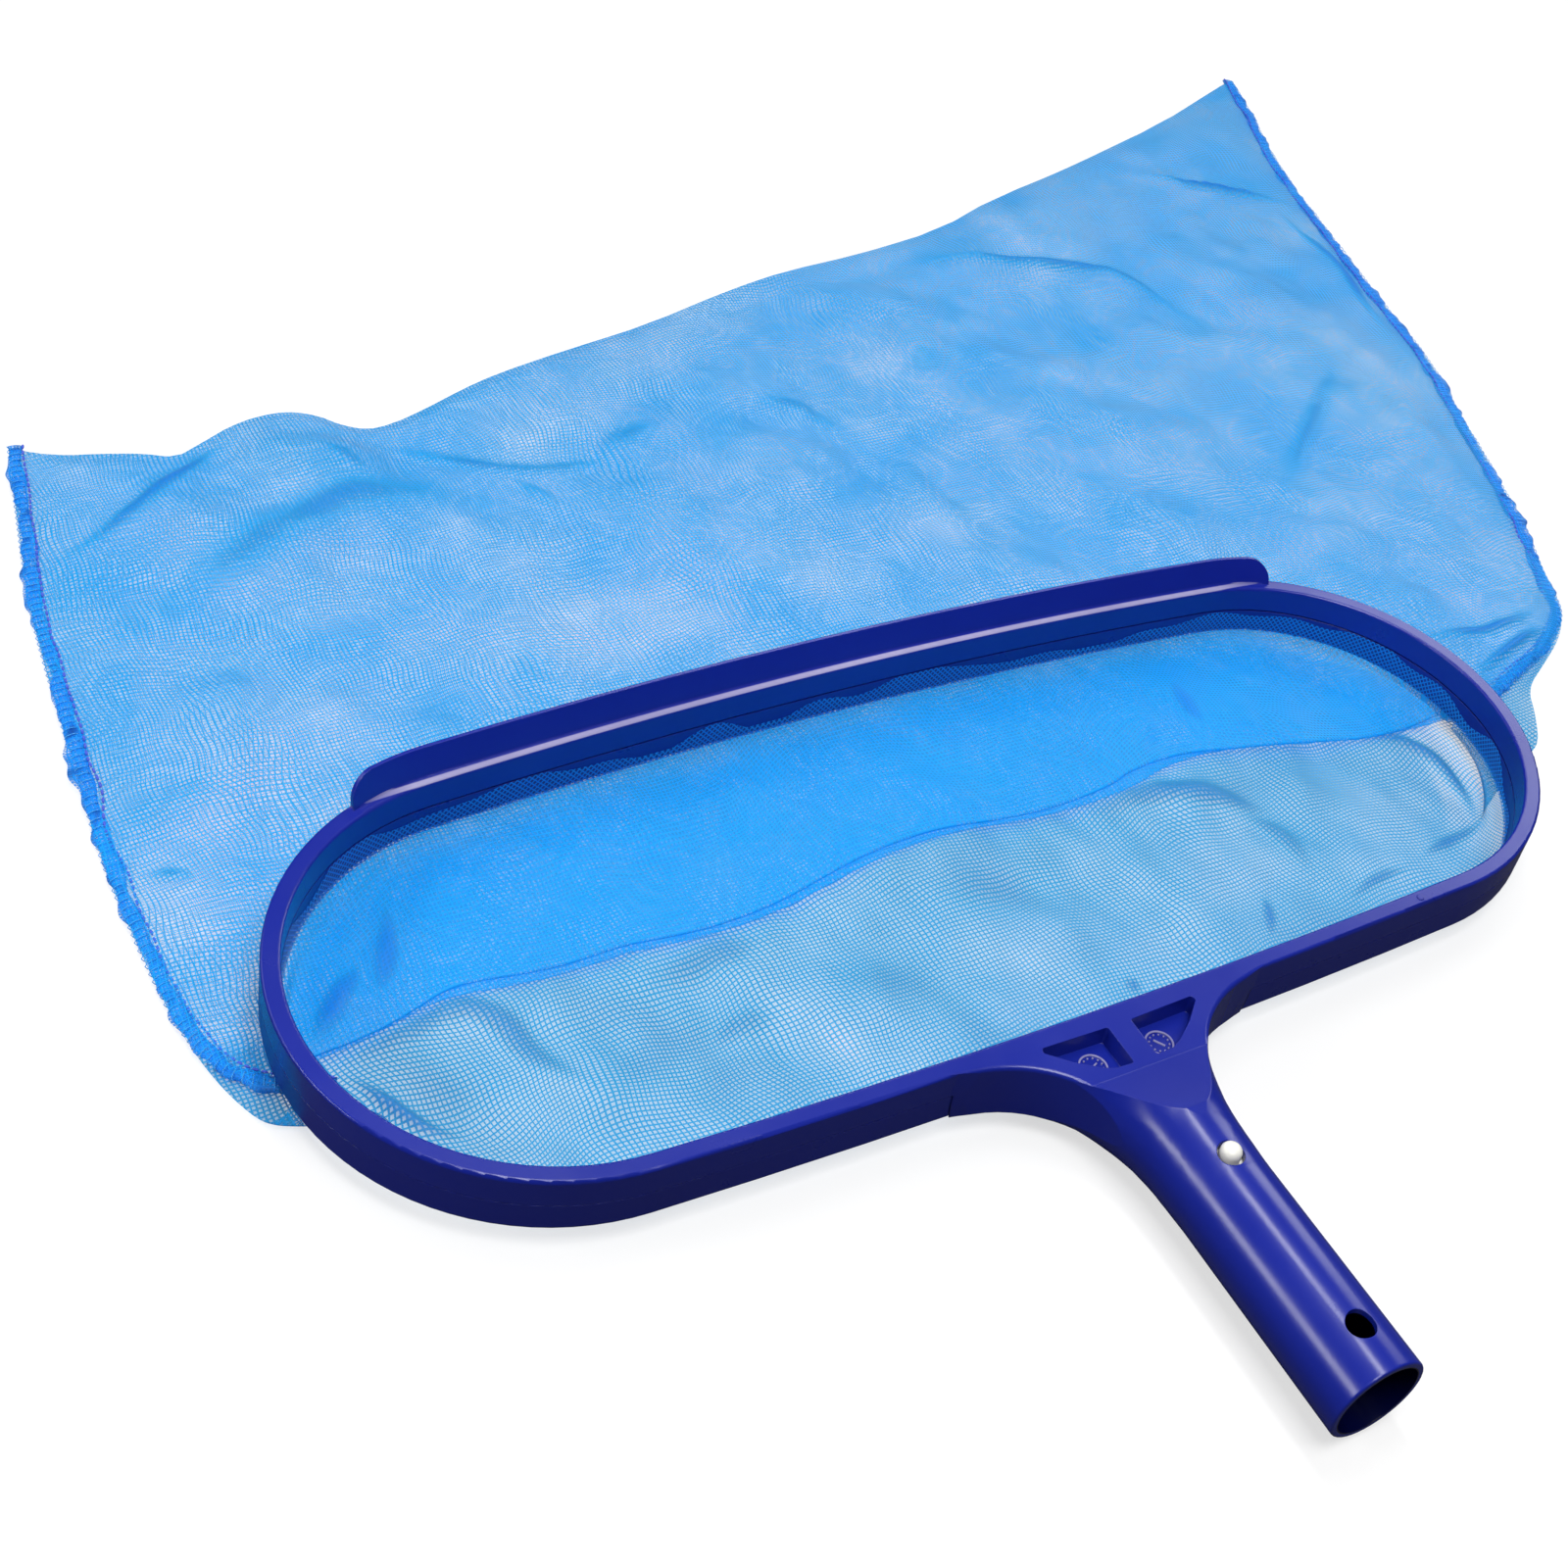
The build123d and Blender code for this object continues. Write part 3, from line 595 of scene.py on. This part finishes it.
def frame_painted_light(nodes, coords, blotches, colour, base):
    """Paints shade into the pole's bore and highlights onto the rear rail's top beside the lip and
    onto the pocket marks; gives colour and specular.
    """
    part = nodes.node("ShaderNodeSeparateXYZ", {0: coords})
    x, y, z = part.outputs
    times = nodes.times
    # painted shade: inside the pole's bore the colour is a tenth as bright and the specular lower
    bore_radius, bore_end = 0.01265, 0.050
    from_axis = nodes.math("ADD", times(x, x), times(z, z))
    bore = times(nodes.math("LESS_THAN", from_axis, bore_radius ** 2),
                 nodes.math("LESS_THAN", y, bore_end))
    colour = nodes.colour_mix(bore, colour, (*[0.10 * c for c in base], 1))
    specular = nodes.math("MULTIPLY_ADD", bore, -0.35, 0.5)
    # painted highlight: a pale lilac strip, broken into patches, on the narrow top of the rear rail
    # beside the lip
    side = nodes.math("ABSOLUTE", x)
    arc_y = nodes.math("ADD", y, -(REAR_CENTRE_Y + MOUTH_IN_PART[1]) * MM)
    radius = nodes.math("SQRT", nodes.math("ADD", times(x, x), times(arc_y, arc_y)))
    ends = nodes.fade(0.168, side, 0.022)
    outer = nodes.fade((REAR_RADIUS - 3.2) * MM, radius, 0.0004)
    inner = nodes.fade(radius, (REAR_RADIUS - 5.45) * MM, 0.0003)
    top = nodes.between(z, 0.0091, 0.0100)
    patches = nodes.math("MULTIPLY_ADD", blotches, 0.9, 0.30, clamp=True)
    rail = times(times(times(ends, outer), times(inner, top)), patches)
    # painted highlight: pale tops on the raised marks of the pocket floors
    marks = times(times(nodes.between(side, 0.0060, 0.0170), nodes.between(y, 0.0766, 0.0868)),
                  times(nodes.between(z, 0.00310, 0.00360), 0.45))
    pale = nodes.math("MAXIMUM", times(rail, 0.80), marks)
    return nodes.colour_mix(pale, colour, (0.56, 0.52, 0.72, 1)), specular


def plastic(name, *, base, dark, rough, seed, painted_light=False):
    """Moulded semi-gloss plastic with faint orange peel, blotches and softened edges; the frame's
    copy also gets painted shade and painted highlights.
    """
    nodes = new_material(name)
    coords = nodes.node("ShaderNodeTexCoord").outputs["Object"]
    place = nodes.node("ShaderNodeMapping", {"Location": (seed, seed * 0.7, 0), "Vector": coords})
    place = place.outputs[0]
    blotches = nodes.noise(place, Scale=14.0, Detail=4.0, Roughness=0.55)
    surface = {"IOR": 1.5}
    colour = nodes.ramp(blotches, (0.32, dark), (0.72, base))
    # painted shade in the bore and painted highlights on the rail top and pocket marks
    if painted_light:
        colour, surface["Specular IOR Level"] = frame_painted_light(nodes, coords, blotches, colour, base)
    smears = nodes.noise(place, Scale=60.0, Detail=5.0)
    peel = nodes.noise(place, Scale=900.0, Detail=2.0)
    # edges are rounded more under the lip along the rear rail
    x, y, z = nodes.node("ShaderNodeSeparateXYZ", {0: coords}).outputs
    near_lip = nodes.times(nodes.math("LESS_THAN", nodes.math("ABSOLUTE", x), 0.163),
                           nodes.math("GREATER_THAN", y, 0.2076))
    low = nodes.times(nodes.math("LESS_THAN", z, 0.0101), nodes.math("GREATER_THAN", z, 0.0065))
    rounding = nodes.math("MULTIPLY_ADD", nodes.times(near_lip, low), 0.0015, 0.00035)
    bevel = nodes.node("ShaderNodeBevel", {"Radius": rounding}, samples=6)
    bump = nodes.node("ShaderNodeBump", {
        "Strength": 0.05, "Distance": 0.0002, "Height": peel, "Normal": bevel.outputs[0]})
    surface.update({
        "Base Color": colour, "Normal": bump.outputs[0],
        "Roughness": nodes.math("MULTIPLY_ADD", smears, 0.12, rough - 0.06)})
    return nodes.finish(nodes.node("ShaderNodeBsdfPrincipled", surface).outputs[0])


def mesh_cloth(name, colour, *, pitch, width, closing, haze, dark, deepest=0.12):
    """Open woven mesh, with fuzz across its holes.

    pitch: thread spacing in mm; width: the thread's share of it; closing: how far steep views
    close the holes; haze: cover of the fuzz; dark: brightness of the painted shade at a thread's
    edges; deepest: most painted shade that dense cloth gets."""
    nodes = new_material(name)
    math_, times = nodes.math, nodes.times
    fab = nodes.node("ShaderNodeAttribute", attribute_name="fab").outputs["Vector"]
    across, along, density = nodes.node("ShaderNodeSeparateXYZ", {0: fab}).outputs
    # steep views widen the threads
    facing = nodes.node("ShaderNodeLayerWeight", {"Blend": 0.5}).outputs["Facing"]
    cosine = math_("MAXIMUM", math_("SUBTRACT", 1.0, facing), 0.40)
    stretch = math_("SUBTRACT", math_("DIVIDE", 1.0, cosine), 1.0)
    grow = math_("MULTIPLY_ADD", stretch, closing, 1.0)
    # thread width drifts by 0.03 and follows the density
    cloud = math_("MULTIPLY_ADD", nodes.noise(fab, Scale=0.045, Detail=3.0), 0.06, -0.03)
    wide = math_("ADD", math_("MULTIPLY_ADD", density, 0.30, width), cloud)
    wide = math_("MINIMUM", math_("MAXIMUM", times(wide, grow), 0.12), 0.985)
    # 0 on a thread's middle, 1 halfway to the next
    away = []
    for coordinate in (across, along):
        cell = math_("FRACT", math_("DIVIDE", coordinate, pitch))
        away.append(times(math_("ABSOLUTE", math_("SUBTRACT", cell, 0.5)), 2.0))
    near = math_("MINIMUM", *away)
    edge_softness = 0.22
    thread = math_("MULTIPLY_ADD", math_("SUBTRACT", wide, near), 1.0 / edge_softness, 0.5,
                   clamp=True)
    fuzz = math_("MULTIPLY_ADD", density, 0.50, haze, clamp=True)
    fuzz = math_("MINIMUM", times(fuzz, grow), 0.96)
    cover = math_("ADD", fuzz, times(thread, math_("SUBTRACT", 0.97, fuzz)))
    # painted shade: each thread is round, so it is coloured darker towards its edges
    edge = math_("DIVIDE", near, wide, clamp=True)
    shade = math_("SUBTRACT", 1.0, times(times(edge, edge), 1.0 - dark))
    # painted shade: dense, gathered and creased cloth is coloured darker, up to deepest
    dense_shade = math_("MINIMUM", math_("MULTIPLY_ADD", density, 0.75, -0.10, clamp=True), deepest)
    shade = times(shade, math_("SUBTRACT", 1.0, dense_shade))
    # gathered cloth is a deeper blue
    red, green, blue = colour
    gathered = math_("MULTIPLY_ADD", density, 1.30, -0.25, clamp=True)
    tint = nodes.colour_mix(gathered, (*colour, 1), (red, green * 0.60, blue, 1))
    shaded = nodes.colour_mix(1.0, tint, shade, blend_type="MULTIPLY")
    front_lit = nodes.node("ShaderNodeBsdfPrincipled", {
        "Roughness": 0.5, "Specular IOR Level": 0.3, "Sheen Weight": 0.12, "Base Color": shaded})
    back_lit = nodes.node("ShaderNodeBsdfTranslucent", {"Color": shaded})
    translucency = 0.45
    cloth = nodes.shader_mix(translucency, front_lit.outputs[0], back_lit.outputs[0])
    clear = nodes.node("ShaderNodeBsdfTransparent").outputs[0]
    # light filters through cloth this fine, so its own shadow is kept faint
    shadow_ray = nodes.node("ShaderNodeLightPath").outputs["Is Shadow Ray"]
    cover = times(cover, math_("SUBTRACT", 1.0, times(shadow_ray, 0.68)))
    return nodes.finish(nodes.shader_mix(cover, clear, cloth))


def thread_material(name, colour):
    """Twisted polyester thread: slanted strands with painted shade between them, and sheen."""
    nodes = new_material(name)
    coords = nodes.node("ShaderNodeTexCoord").outputs["Object"]
    strands = nodes.node("ShaderNodeTexWave", {
        "Scale": 900.0, "Distortion": 1.0, "Vector": coords}, bands_direction="DIAGONAL")
    strands = strands.outputs["Fac"]
    bump = nodes.node("ShaderNodeBump", {"Strength": 0.5, "Distance": 0.00006, "Height": strands})
    # painted shade: the grooves between strands are coloured darker
    surface = nodes.node("ShaderNodeBsdfPrincipled", {
        "Base Color": nodes.ramp(strands, (0.0, [0.6 * c for c in colour]), (1.0, colour)),
        "Roughness": 0.6, "Sheen Weight": 0.2, "Normal": bump.outputs[0]})
    return nodes.finish(surface.outputs[0])


def paint(ob, material):
    ob.data.materials.clear()
    ob.data.materials.append(material)


frame_plastic = plastic("moulded_blue_frame", base=(0.0075, 0.0190, 0.300),
                        dark=(0.0060, 0.0150, 0.260), rough=0.25, seed=3.1, painted_light=True)
ring_plastic = plastic("moulded_blue_ring", base=(0.0070, 0.0170, 0.275),
                       dark=(0.0055, 0.0130, 0.235), rough=0.29, seed=7.7)
clip_plastic = plastic("moulded_acetal", base=(0.90, 0.89, 0.85),
                       dark=(0.85, 0.84, 0.78), rough=0.30, seed=1.3)
net_cloth = mesh_cloth("woven_mesh", (0.006, 0.49, 0.99), pitch=1.40, width=0.27,
                       closing=0.45, haze=0.40, dark=0.85)
hem_cloth = mesh_cloth("hem_mesh", (0.010, 0.34, 0.97), pitch=1.40, width=0.36,
                       closing=0.10, haze=0.22, dark=0.75)
# its gathered end by the rim takes up to half painted shade
seam_cloth = mesh_cloth("seam_mesh", (0.010, 0.38, 0.98), pitch=1.20, width=0.36,
                        closing=0.2, haze=0.30, dark=0.80, deepest=0.5)
thread_mat = thread_material("seam_thread", (0.050, 0.11, 0.78))
lock_mat = thread_material("overlock_thread", (0.030, 0.40, 0.97))

for material, names in (
    (frame_plastic, ["main_frame"]),
    (ring_plastic, ["clamp_ring"]),
    (clip_plastic, ["spring_clip_bend", "spring_clip_upper_leg", "spring_clip_lower_leg"]),
    (hem_cloth, ["hem_tape"]),
    (net_cloth, ["net_bag"]),
    (seam_cloth, ["side_seam_left", "side_seam_right"]),
    (thread_mat, ["seam_thread_left", "seam_thread_right"]),
):
    for name in names:
        paint(frame["nodes"][name], material)


# =================================================================== the net bag
def lower_density(x, y):
    """Extra thread density: more in the mouth, partly for gathered cloth and partly as painted
    shade under the hoop; more in its creases; open elsewhere.
    """
    mouth = ease(inside_hoop(x, y, 2) / 8)
    density = (-0.27 + 0.39 * mouth + 0.62 * strokes(x, y, CREASES_LOWER) * mouth
               + 0.07 * waves(x, y, 60, 41) + 0.03 * waves(x, y, 24, 45))
    # the walls at the right end hang open; a crease marks where they turn under
    right_end = ease((x - 165) / 18.0)
    inside = inside_hoop(x, y)
    near_wall = ease((26.0 - inside) / 5.0) * ease((inside - 1.0) / 3.0)
    density -= 0.36 * right_end * near_wall * (1 - strokes(x, y, CREASES_LOWER[:1]))
    # gathered where the sheet leaves the hoop's right and left ends
    density += 0.35 * ease((x - 208) / 6.0) * ease((30 - y) / 10.0)
    density += 0.75 * ease((-206 - x) / 4.0) * ease((24 - y) / 12.0)
    return density


def upper_density(x, y):
    split = INNER_ROWS + TURN_ROWS   # rows up to here count as lying inside the mouth
    inner, outer = (x[:split], y[:split]), (x[split:], y[split:])
    # denser in the mouth than outside: partly gathered cloth, partly painted shade under the hoop
    return np.concatenate([
        -0.02 + 1.0 * strokes(*inner, CREASES_INNER) + 0.07 * waves(*inner, 34, 44),
        1.25 * strokes(*outer, CREASES_UPPER) - 0.5 * strokes(*outer, PALE_UPPER)
        + 0.07 * waves(*outer, 70, 42) + 0.04 * waves(*outer, 26, 43) - 0.30,
    ])


def bag_sheet(name, sheet, density, angle, seed):
    pos, flat = sheet
    fab = thread_coords(flat, angle, seed, density(pos[..., 0], pos[..., 1]))
    ob = grid_object(name, pos, fab)
    paint(ob, net_cloth)
    return ob


bag_front = bag_sheet("bag_front_sheet", lower_sheet(), lower_density, angle=3.0, seed=50)
bag_rear = bag_sheet("bag_rear_sheet", upper_sheet(), upper_density, angle=-2.5, seed=60)
for sheet_ob in (bag_front, bag_rear):
    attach(sheet_ob, "frame")
    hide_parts("net_bag")


# ======================================================================= the hem
def hem_band():
    """A band round the inside of the hoop with a wavy top edge; its threads run at 45 degrees."""
    columns, rows = 900, 9
    bottom = -18.6
    halves = hoop_half(True, columns // 2 + 1), hoop_half(False, columns // 2 + 1)
    centres, radii, outward = [
        np.concatenate([front[:-1], rear[::-1][:-1]]) for front, rear in zip(*halves)
    ]
    outline = centres + radii[:, None] * outward
    run = np.r_[0, np.cumsum(steps(outline))]
    turn = 2 * np.pi * run / (run[-1] + np.linalg.norm(outline[0] - outline[-1]))
    wave = 0.0
    rng = np.random.default_rng(5)
    for k in range(3, 34):
        wave = wave + rng.normal() / k ** 0.55 * np.cos(k * turn + rng.uniform(0, 6.3))
    top = np.clip(-12.5 + 2.1 * (wave / wave.std()), -15.5, -9.8)
    bulge = 0.35 + 0.35 * np.sin(37 * turn) * np.sin(5 * turn)
    diagonal = 0.7071
    pos, fab = [], []
    for i in range(rows):
        down = i / (rows - 1)
        z = blend(top, bottom, down)
        inset = 5.62 + 0.35 * down + bulge * (1 - down) * down * 2.0
        pos.append(np.c_[hoop_points((centres, radii, outward), inset), z])
        fab.append(np.c_[run * diagonal + z * diagonal, -run * diagonal + z * diagonal,
                         np.zeros(columns)])
    return np.stack(pos), np.stack(fab)


hem = grid_object("hem_band", *hem_band(), closed=True)
paint(hem, hem_cloth)
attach(hem, "frame")
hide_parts("hem_tape")

# ================================================================== the side seams
# Cross-section of the seam strip: distance inwards from the outline, height.
SEAM_PROFILE = [
    (-0.35, -0.1), (-0.2, 0.35), (0.8, 0.65), (2.0, 0.75), (3.2, 0.65), (4.3, 0.25),
    (4.4, -0.15), (3.0, -0.35), (1.2, -0.40),
]
SEAM_STEP = 1.1
THREAD_PITCH = 2.9     # of the overlock loops and of the stitches


def overlock(name, outline, inward, run, seam_z):
    """Thread looped round the raw edge."""
    length = run[-1]
    loops = int(length / THREAD_PITCH)
    count = loops * 8 + 1
    phase = np.linspace(0, loops * 2 * np.pi, count)
    path = offset_line(resample(outline, count), inward * (1.5 - 2.0 * np.cos(phase)))
    z = np.interp(np.linspace(0, length, count), run, seam_z) + 0.30 + 0.95 * np.sin(phase)
    ob = tubes_object(name, [tube(np.c_[path, z], 0.16, 5)])
    paint(ob, lock_mat)
    return ob


def stitch_row(name, outline, inward, run, seam_z):
    """The row of stitches that joins the two sheets."""
    line = offset_line(outline, inward * (4.5 + 0.35 * waves(run, 0.0, 22, 78)))
    line = np.c_[line, seam_z + 1.05]
    stitches = int(run[-1] / THREAD_PITCH)
    ends = np.linspace(0, len(line) - 1, stitches + 1)
    gap = 0.12 * ends[1]
    share = np.linspace(0, 1, 6)
    radius = 0.408 * np.sqrt(np.maximum(1 - (2 * share - 1) ** 4, 0.12))
    tubes = []
    for start, end in zip(ends[:-1], ends[1:]):
        stations = np.linspace(start + gap, end - gap, 6)
        path = np.stack([np.interp(stations, np.arange(len(line)), c) for c in line.T], 1)
        path[:, 2] += 0.30 * np.sin(np.pi * share) - 0.12
        tubes.append(tube(path, radius, 6, flat=0.8))
    ob = tubes_object(name, tubes)
    paint(ob, thread_mat)
    return ob


def side_seam(side, points, *, inward, lift_length, extra_height, gather, seed):
    """Strip, overlock and stitches of one side; near the rim the seam lifts off the floor.

    inward: sign that takes a line's left to the bag's inside; extra_height and gather: added
    thickness and density where the seam is lifted."""
    outline = soften(points, 2, 1200)
    length = steps(outline).sum()
    count = int(length / SEAM_STEP)
    outline = resample(outline, count)
    run = np.linspace(0, length, count)
    wiggle = 0.45 * waves(run, 0.0, 8, seed) + 0.6 * waves(run, 0.0, 30, 73)
    lift = 1 - ease(run / lift_length)
    seam_z = -24.1 + 0.5 * waves(run, 0.0, 60, 74) + 0.2 * waves(run, 0.0, 18, 75)
    seam_z = blend(np.maximum(seam_z, -25.6), -21.9, lift)
    rows, fab = [], []
    for offset, height in SEAM_PROFILE:
        across = (offset * (1 + 0.10 * waves(run, offset, 14, 76))
                  + wiggle * max(0.0, 1 - offset / 3.5))
        plan = offset_line(outline, inward * across)
        rows.append(np.c_[plan, seam_z + height * (1 + extra_height * lift)])
        density = 0.25 * waves(run, offset, 7, 77) + gather * lift
        fab.append(np.c_[run, np.full(count, offset * 1.1), density])
    rows.append(rows[0])
    fab.append(fab[0])
    strip = grid_object("seam_strip_" + side, np.stack(rows), np.stack(fab))
    paint(strip, seam_cloth)
    loops = overlock("overlock_" + side, outline, inward, run, seam_z)
    stitches = stitch_row("stitches_" + side, outline, inward, run, seam_z)
    for ob, slot in ((strip, "seam_mesh"), (loops, "thread"), (stitches, "thread")):
        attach(ob, "frame")
    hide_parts("side_seam_" + side)
    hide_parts("seam_thread_" + side)


side_seam("left", SEAM_LEFT, inward=-1.0, lift_length=42.0, extra_height=0.6, gather=0.8, seed=71)
side_seam("right", SEAM_RIGHT, inward=1.0, lift_length=105.0, extra_height=0.0, gather=0.3,
          seed=72)


# ========================================================== floor, light and camera
BACKDROP = (0.97, 0.97, 0.97, 1)


def floor_material():
    """Pale to the camera, dark to every other ray; it melts into the backdrop far away."""
    nodes = new_material("pale_floor")
    camera_ray = nodes.node("ShaderNodeLightPath").outputs["Is Camera Ray"]
    unseen = nodes.node("ShaderNodeBsdfDiffuse", {"Color": (0.07, 0.07, 0.08, 1)})
    seen = nodes.node("ShaderNodeBsdfDiffuse", {"Color": (0.34, 0.34, 0.34, 1)})
    glow = nodes.node("ShaderNodeEmission", {"Color": (1, 1, 1, 1), "Strength": 0.63})
    near = nodes.node("ShaderNodeAddShader", {0: seen.outputs[0], 1: glow.outputs[0]})
    far = nodes.node("ShaderNodeEmission", {"Color": BACKDROP, "Strength": 1.0})
    position = nodes.node("ShaderNodeNewGeometry").outputs["Position"]
    away = nodes.node("ShaderNodeVectorMath", {0: position}, operation="LENGTH")
    melt = nodes.node(
        "ShaderNodeMapRange",
        {"From Min": 0.9, "From Max": 2.0, "Value": away.outputs["Value"]},
        interpolation_type="SMOOTHSTEP")
    pale = nodes.shader_mix(melt.outputs["Result"], near.outputs[0], far.outputs[0])
    return nodes.finish(nodes.shader_mix(camera_ray, unseen.outputs[0], pale))


def make_floor():
    half = 9.0
    z = to_world([0, 0, FLOOR_Z])[2]
    corners = [(-half, -half, z), (half, -half, z), (half, half, z), (-half, half, z)]
    mesh = bpy.data.meshes.new("floor")
    mesh.from_pydata(corners, [], [(0, 1, 2, 3)])
    ob = link_object("floor", mesh)
    paint(ob, floor_material())


def make_world():
    """A plain backdrop for the camera and a dim glow from above for the light."""
    if scene.world is None:
        scene.world = bpy.data.worlds.new("studio")
    nodes = Nodes(scene.world, "ShaderNodeOutputWorld")
    seen = nodes.node("ShaderNodeBackground", {0: BACKDROP, 1: 1.0})
    direction = nodes.node("ShaderNodeTexCoord").outputs["Generated"]
    height = nodes.node("ShaderNodeSeparateXYZ", {0: direction}).outputs[2]
    glow = nodes.ramp(height, (0.0, (0.02, 0.02, 0.02)), (0.9, (0.12, 0.12, 0.12)))
    light = nodes.node("ShaderNodeBackground", {0: glow, 1: 1.0})
    camera_ray = nodes.node("ShaderNodeLightPath").outputs["Is Camera Ray"]
    nodes.finish(nodes.shader_mix(camera_ray, light.outputs[0], seen.outputs[0]))


def axes_matrix(right, up, back, place):
    return Matrix([[right[i], up[i], back[i], place[i]] for i in range(3)] + [[0, 0, 0, 1]])


def softbox(name, direction, *, distance, size, power, target=(0, -20, 0), long=(0, 1, 0)):
    """A softbox seen from the target (mm) in the given direction; distance and size in metres.
    size is (short, long), the long side lying along `long`."""
    back = Vector(direction).normalized()
    light = bpy.data.lights.new(name, "AREA")
    light.shape = "RECTANGLE"
    light.size, light.size_y = size
    light.energy = power
    ob = link_object(name, light)
    up = Vector(long)
    up = (up - back * up.dot(back)).normalized()
    place = Vector(to_world(target)) + back * distance
    ob.matrix_world = axes_matrix(up.cross(back), up, back, place)


def make_camera():
    # azimuth, elevation and roll in radians; distance in metres; aim in drawing mm
    azimuth, elevation, roll = -0.6984933527, 0.6832212844, 0.2525895925
    distance = 0.7587401772
    aim = [30.24905774, 80.21801654, 0.0]
    back = np.array([math.sin(azimuth) * math.cos(elevation),
                     -math.cos(azimuth) * math.cos(elevation), math.sin(elevation)])
    level = np.array([math.cos(azimuth), math.sin(azimuth), 0.0])
    upright = np.cross(back, level)
    right = math.cos(roll) * level + math.sin(roll) * upright
    up = -math.sin(roll) * level + math.cos(roll) * upright
    data = bpy.data.cameras.new("camera")
    data.sensor_fit = "HORIZONTAL"
    data.sensor_width = 36.0
    data.lens = 54.0
    data.shift_x, data.shift_y = -0.0875, -0.09375
    data.clip_start, data.clip_end = 0.01, 50.0
    camera = link_object("camera", data)
    camera.matrix_world = axes_matrix(right, up, back, to_world(aim) + back * distance)
    scene.camera = camera


make_floor()
make_world()
# two narrow boxes along the handle
softbox("box_top", (0.10, 0.22, 0.97), distance=1.5, size=(0.18, 0.62), power=6.0)
softbox("strip_left", (-0.87, 0.21, 0.45), distance=1.4, size=(0.26, 0.70), power=5.5)
# one at the right for the rim's sheen
softbox("box_right", (0.80, 0.38, 0.47), distance=1.7, size=(0.70, 0.70), power=6.0,
        target=(60, 20, 0))
# a strip and a box behind
softbox("strip_back", (0.46, 0.63, 0.62), distance=1.6, size=(0.13, 0.58), power=1.6,
        target=(0, 72, 0), long=(0.317, -0.114, -0.12))
softbox("box_back", (-0.50, 0.66, 0.56), distance=2.2, size=(1.1, 1.0), power=6.0,
        target=(0, 100, 0))
# a big soft one overhead
softbox("box_soft", (-0.10, -0.32, 0.94), distance=1.8, size=(0.85, 0.85), power=25.0,
        target=(0, 80, 0))
make_camera()

scene.view_settings.view_transform = "Standard"
scene.view_settings.look = "None"
scene.view_settings.exposure = 0.0
scene.cycles.transparent_max_bounces = 24
scene.cycles.max_bounces = 10
scene.cycles.diffuse_bounces = 3
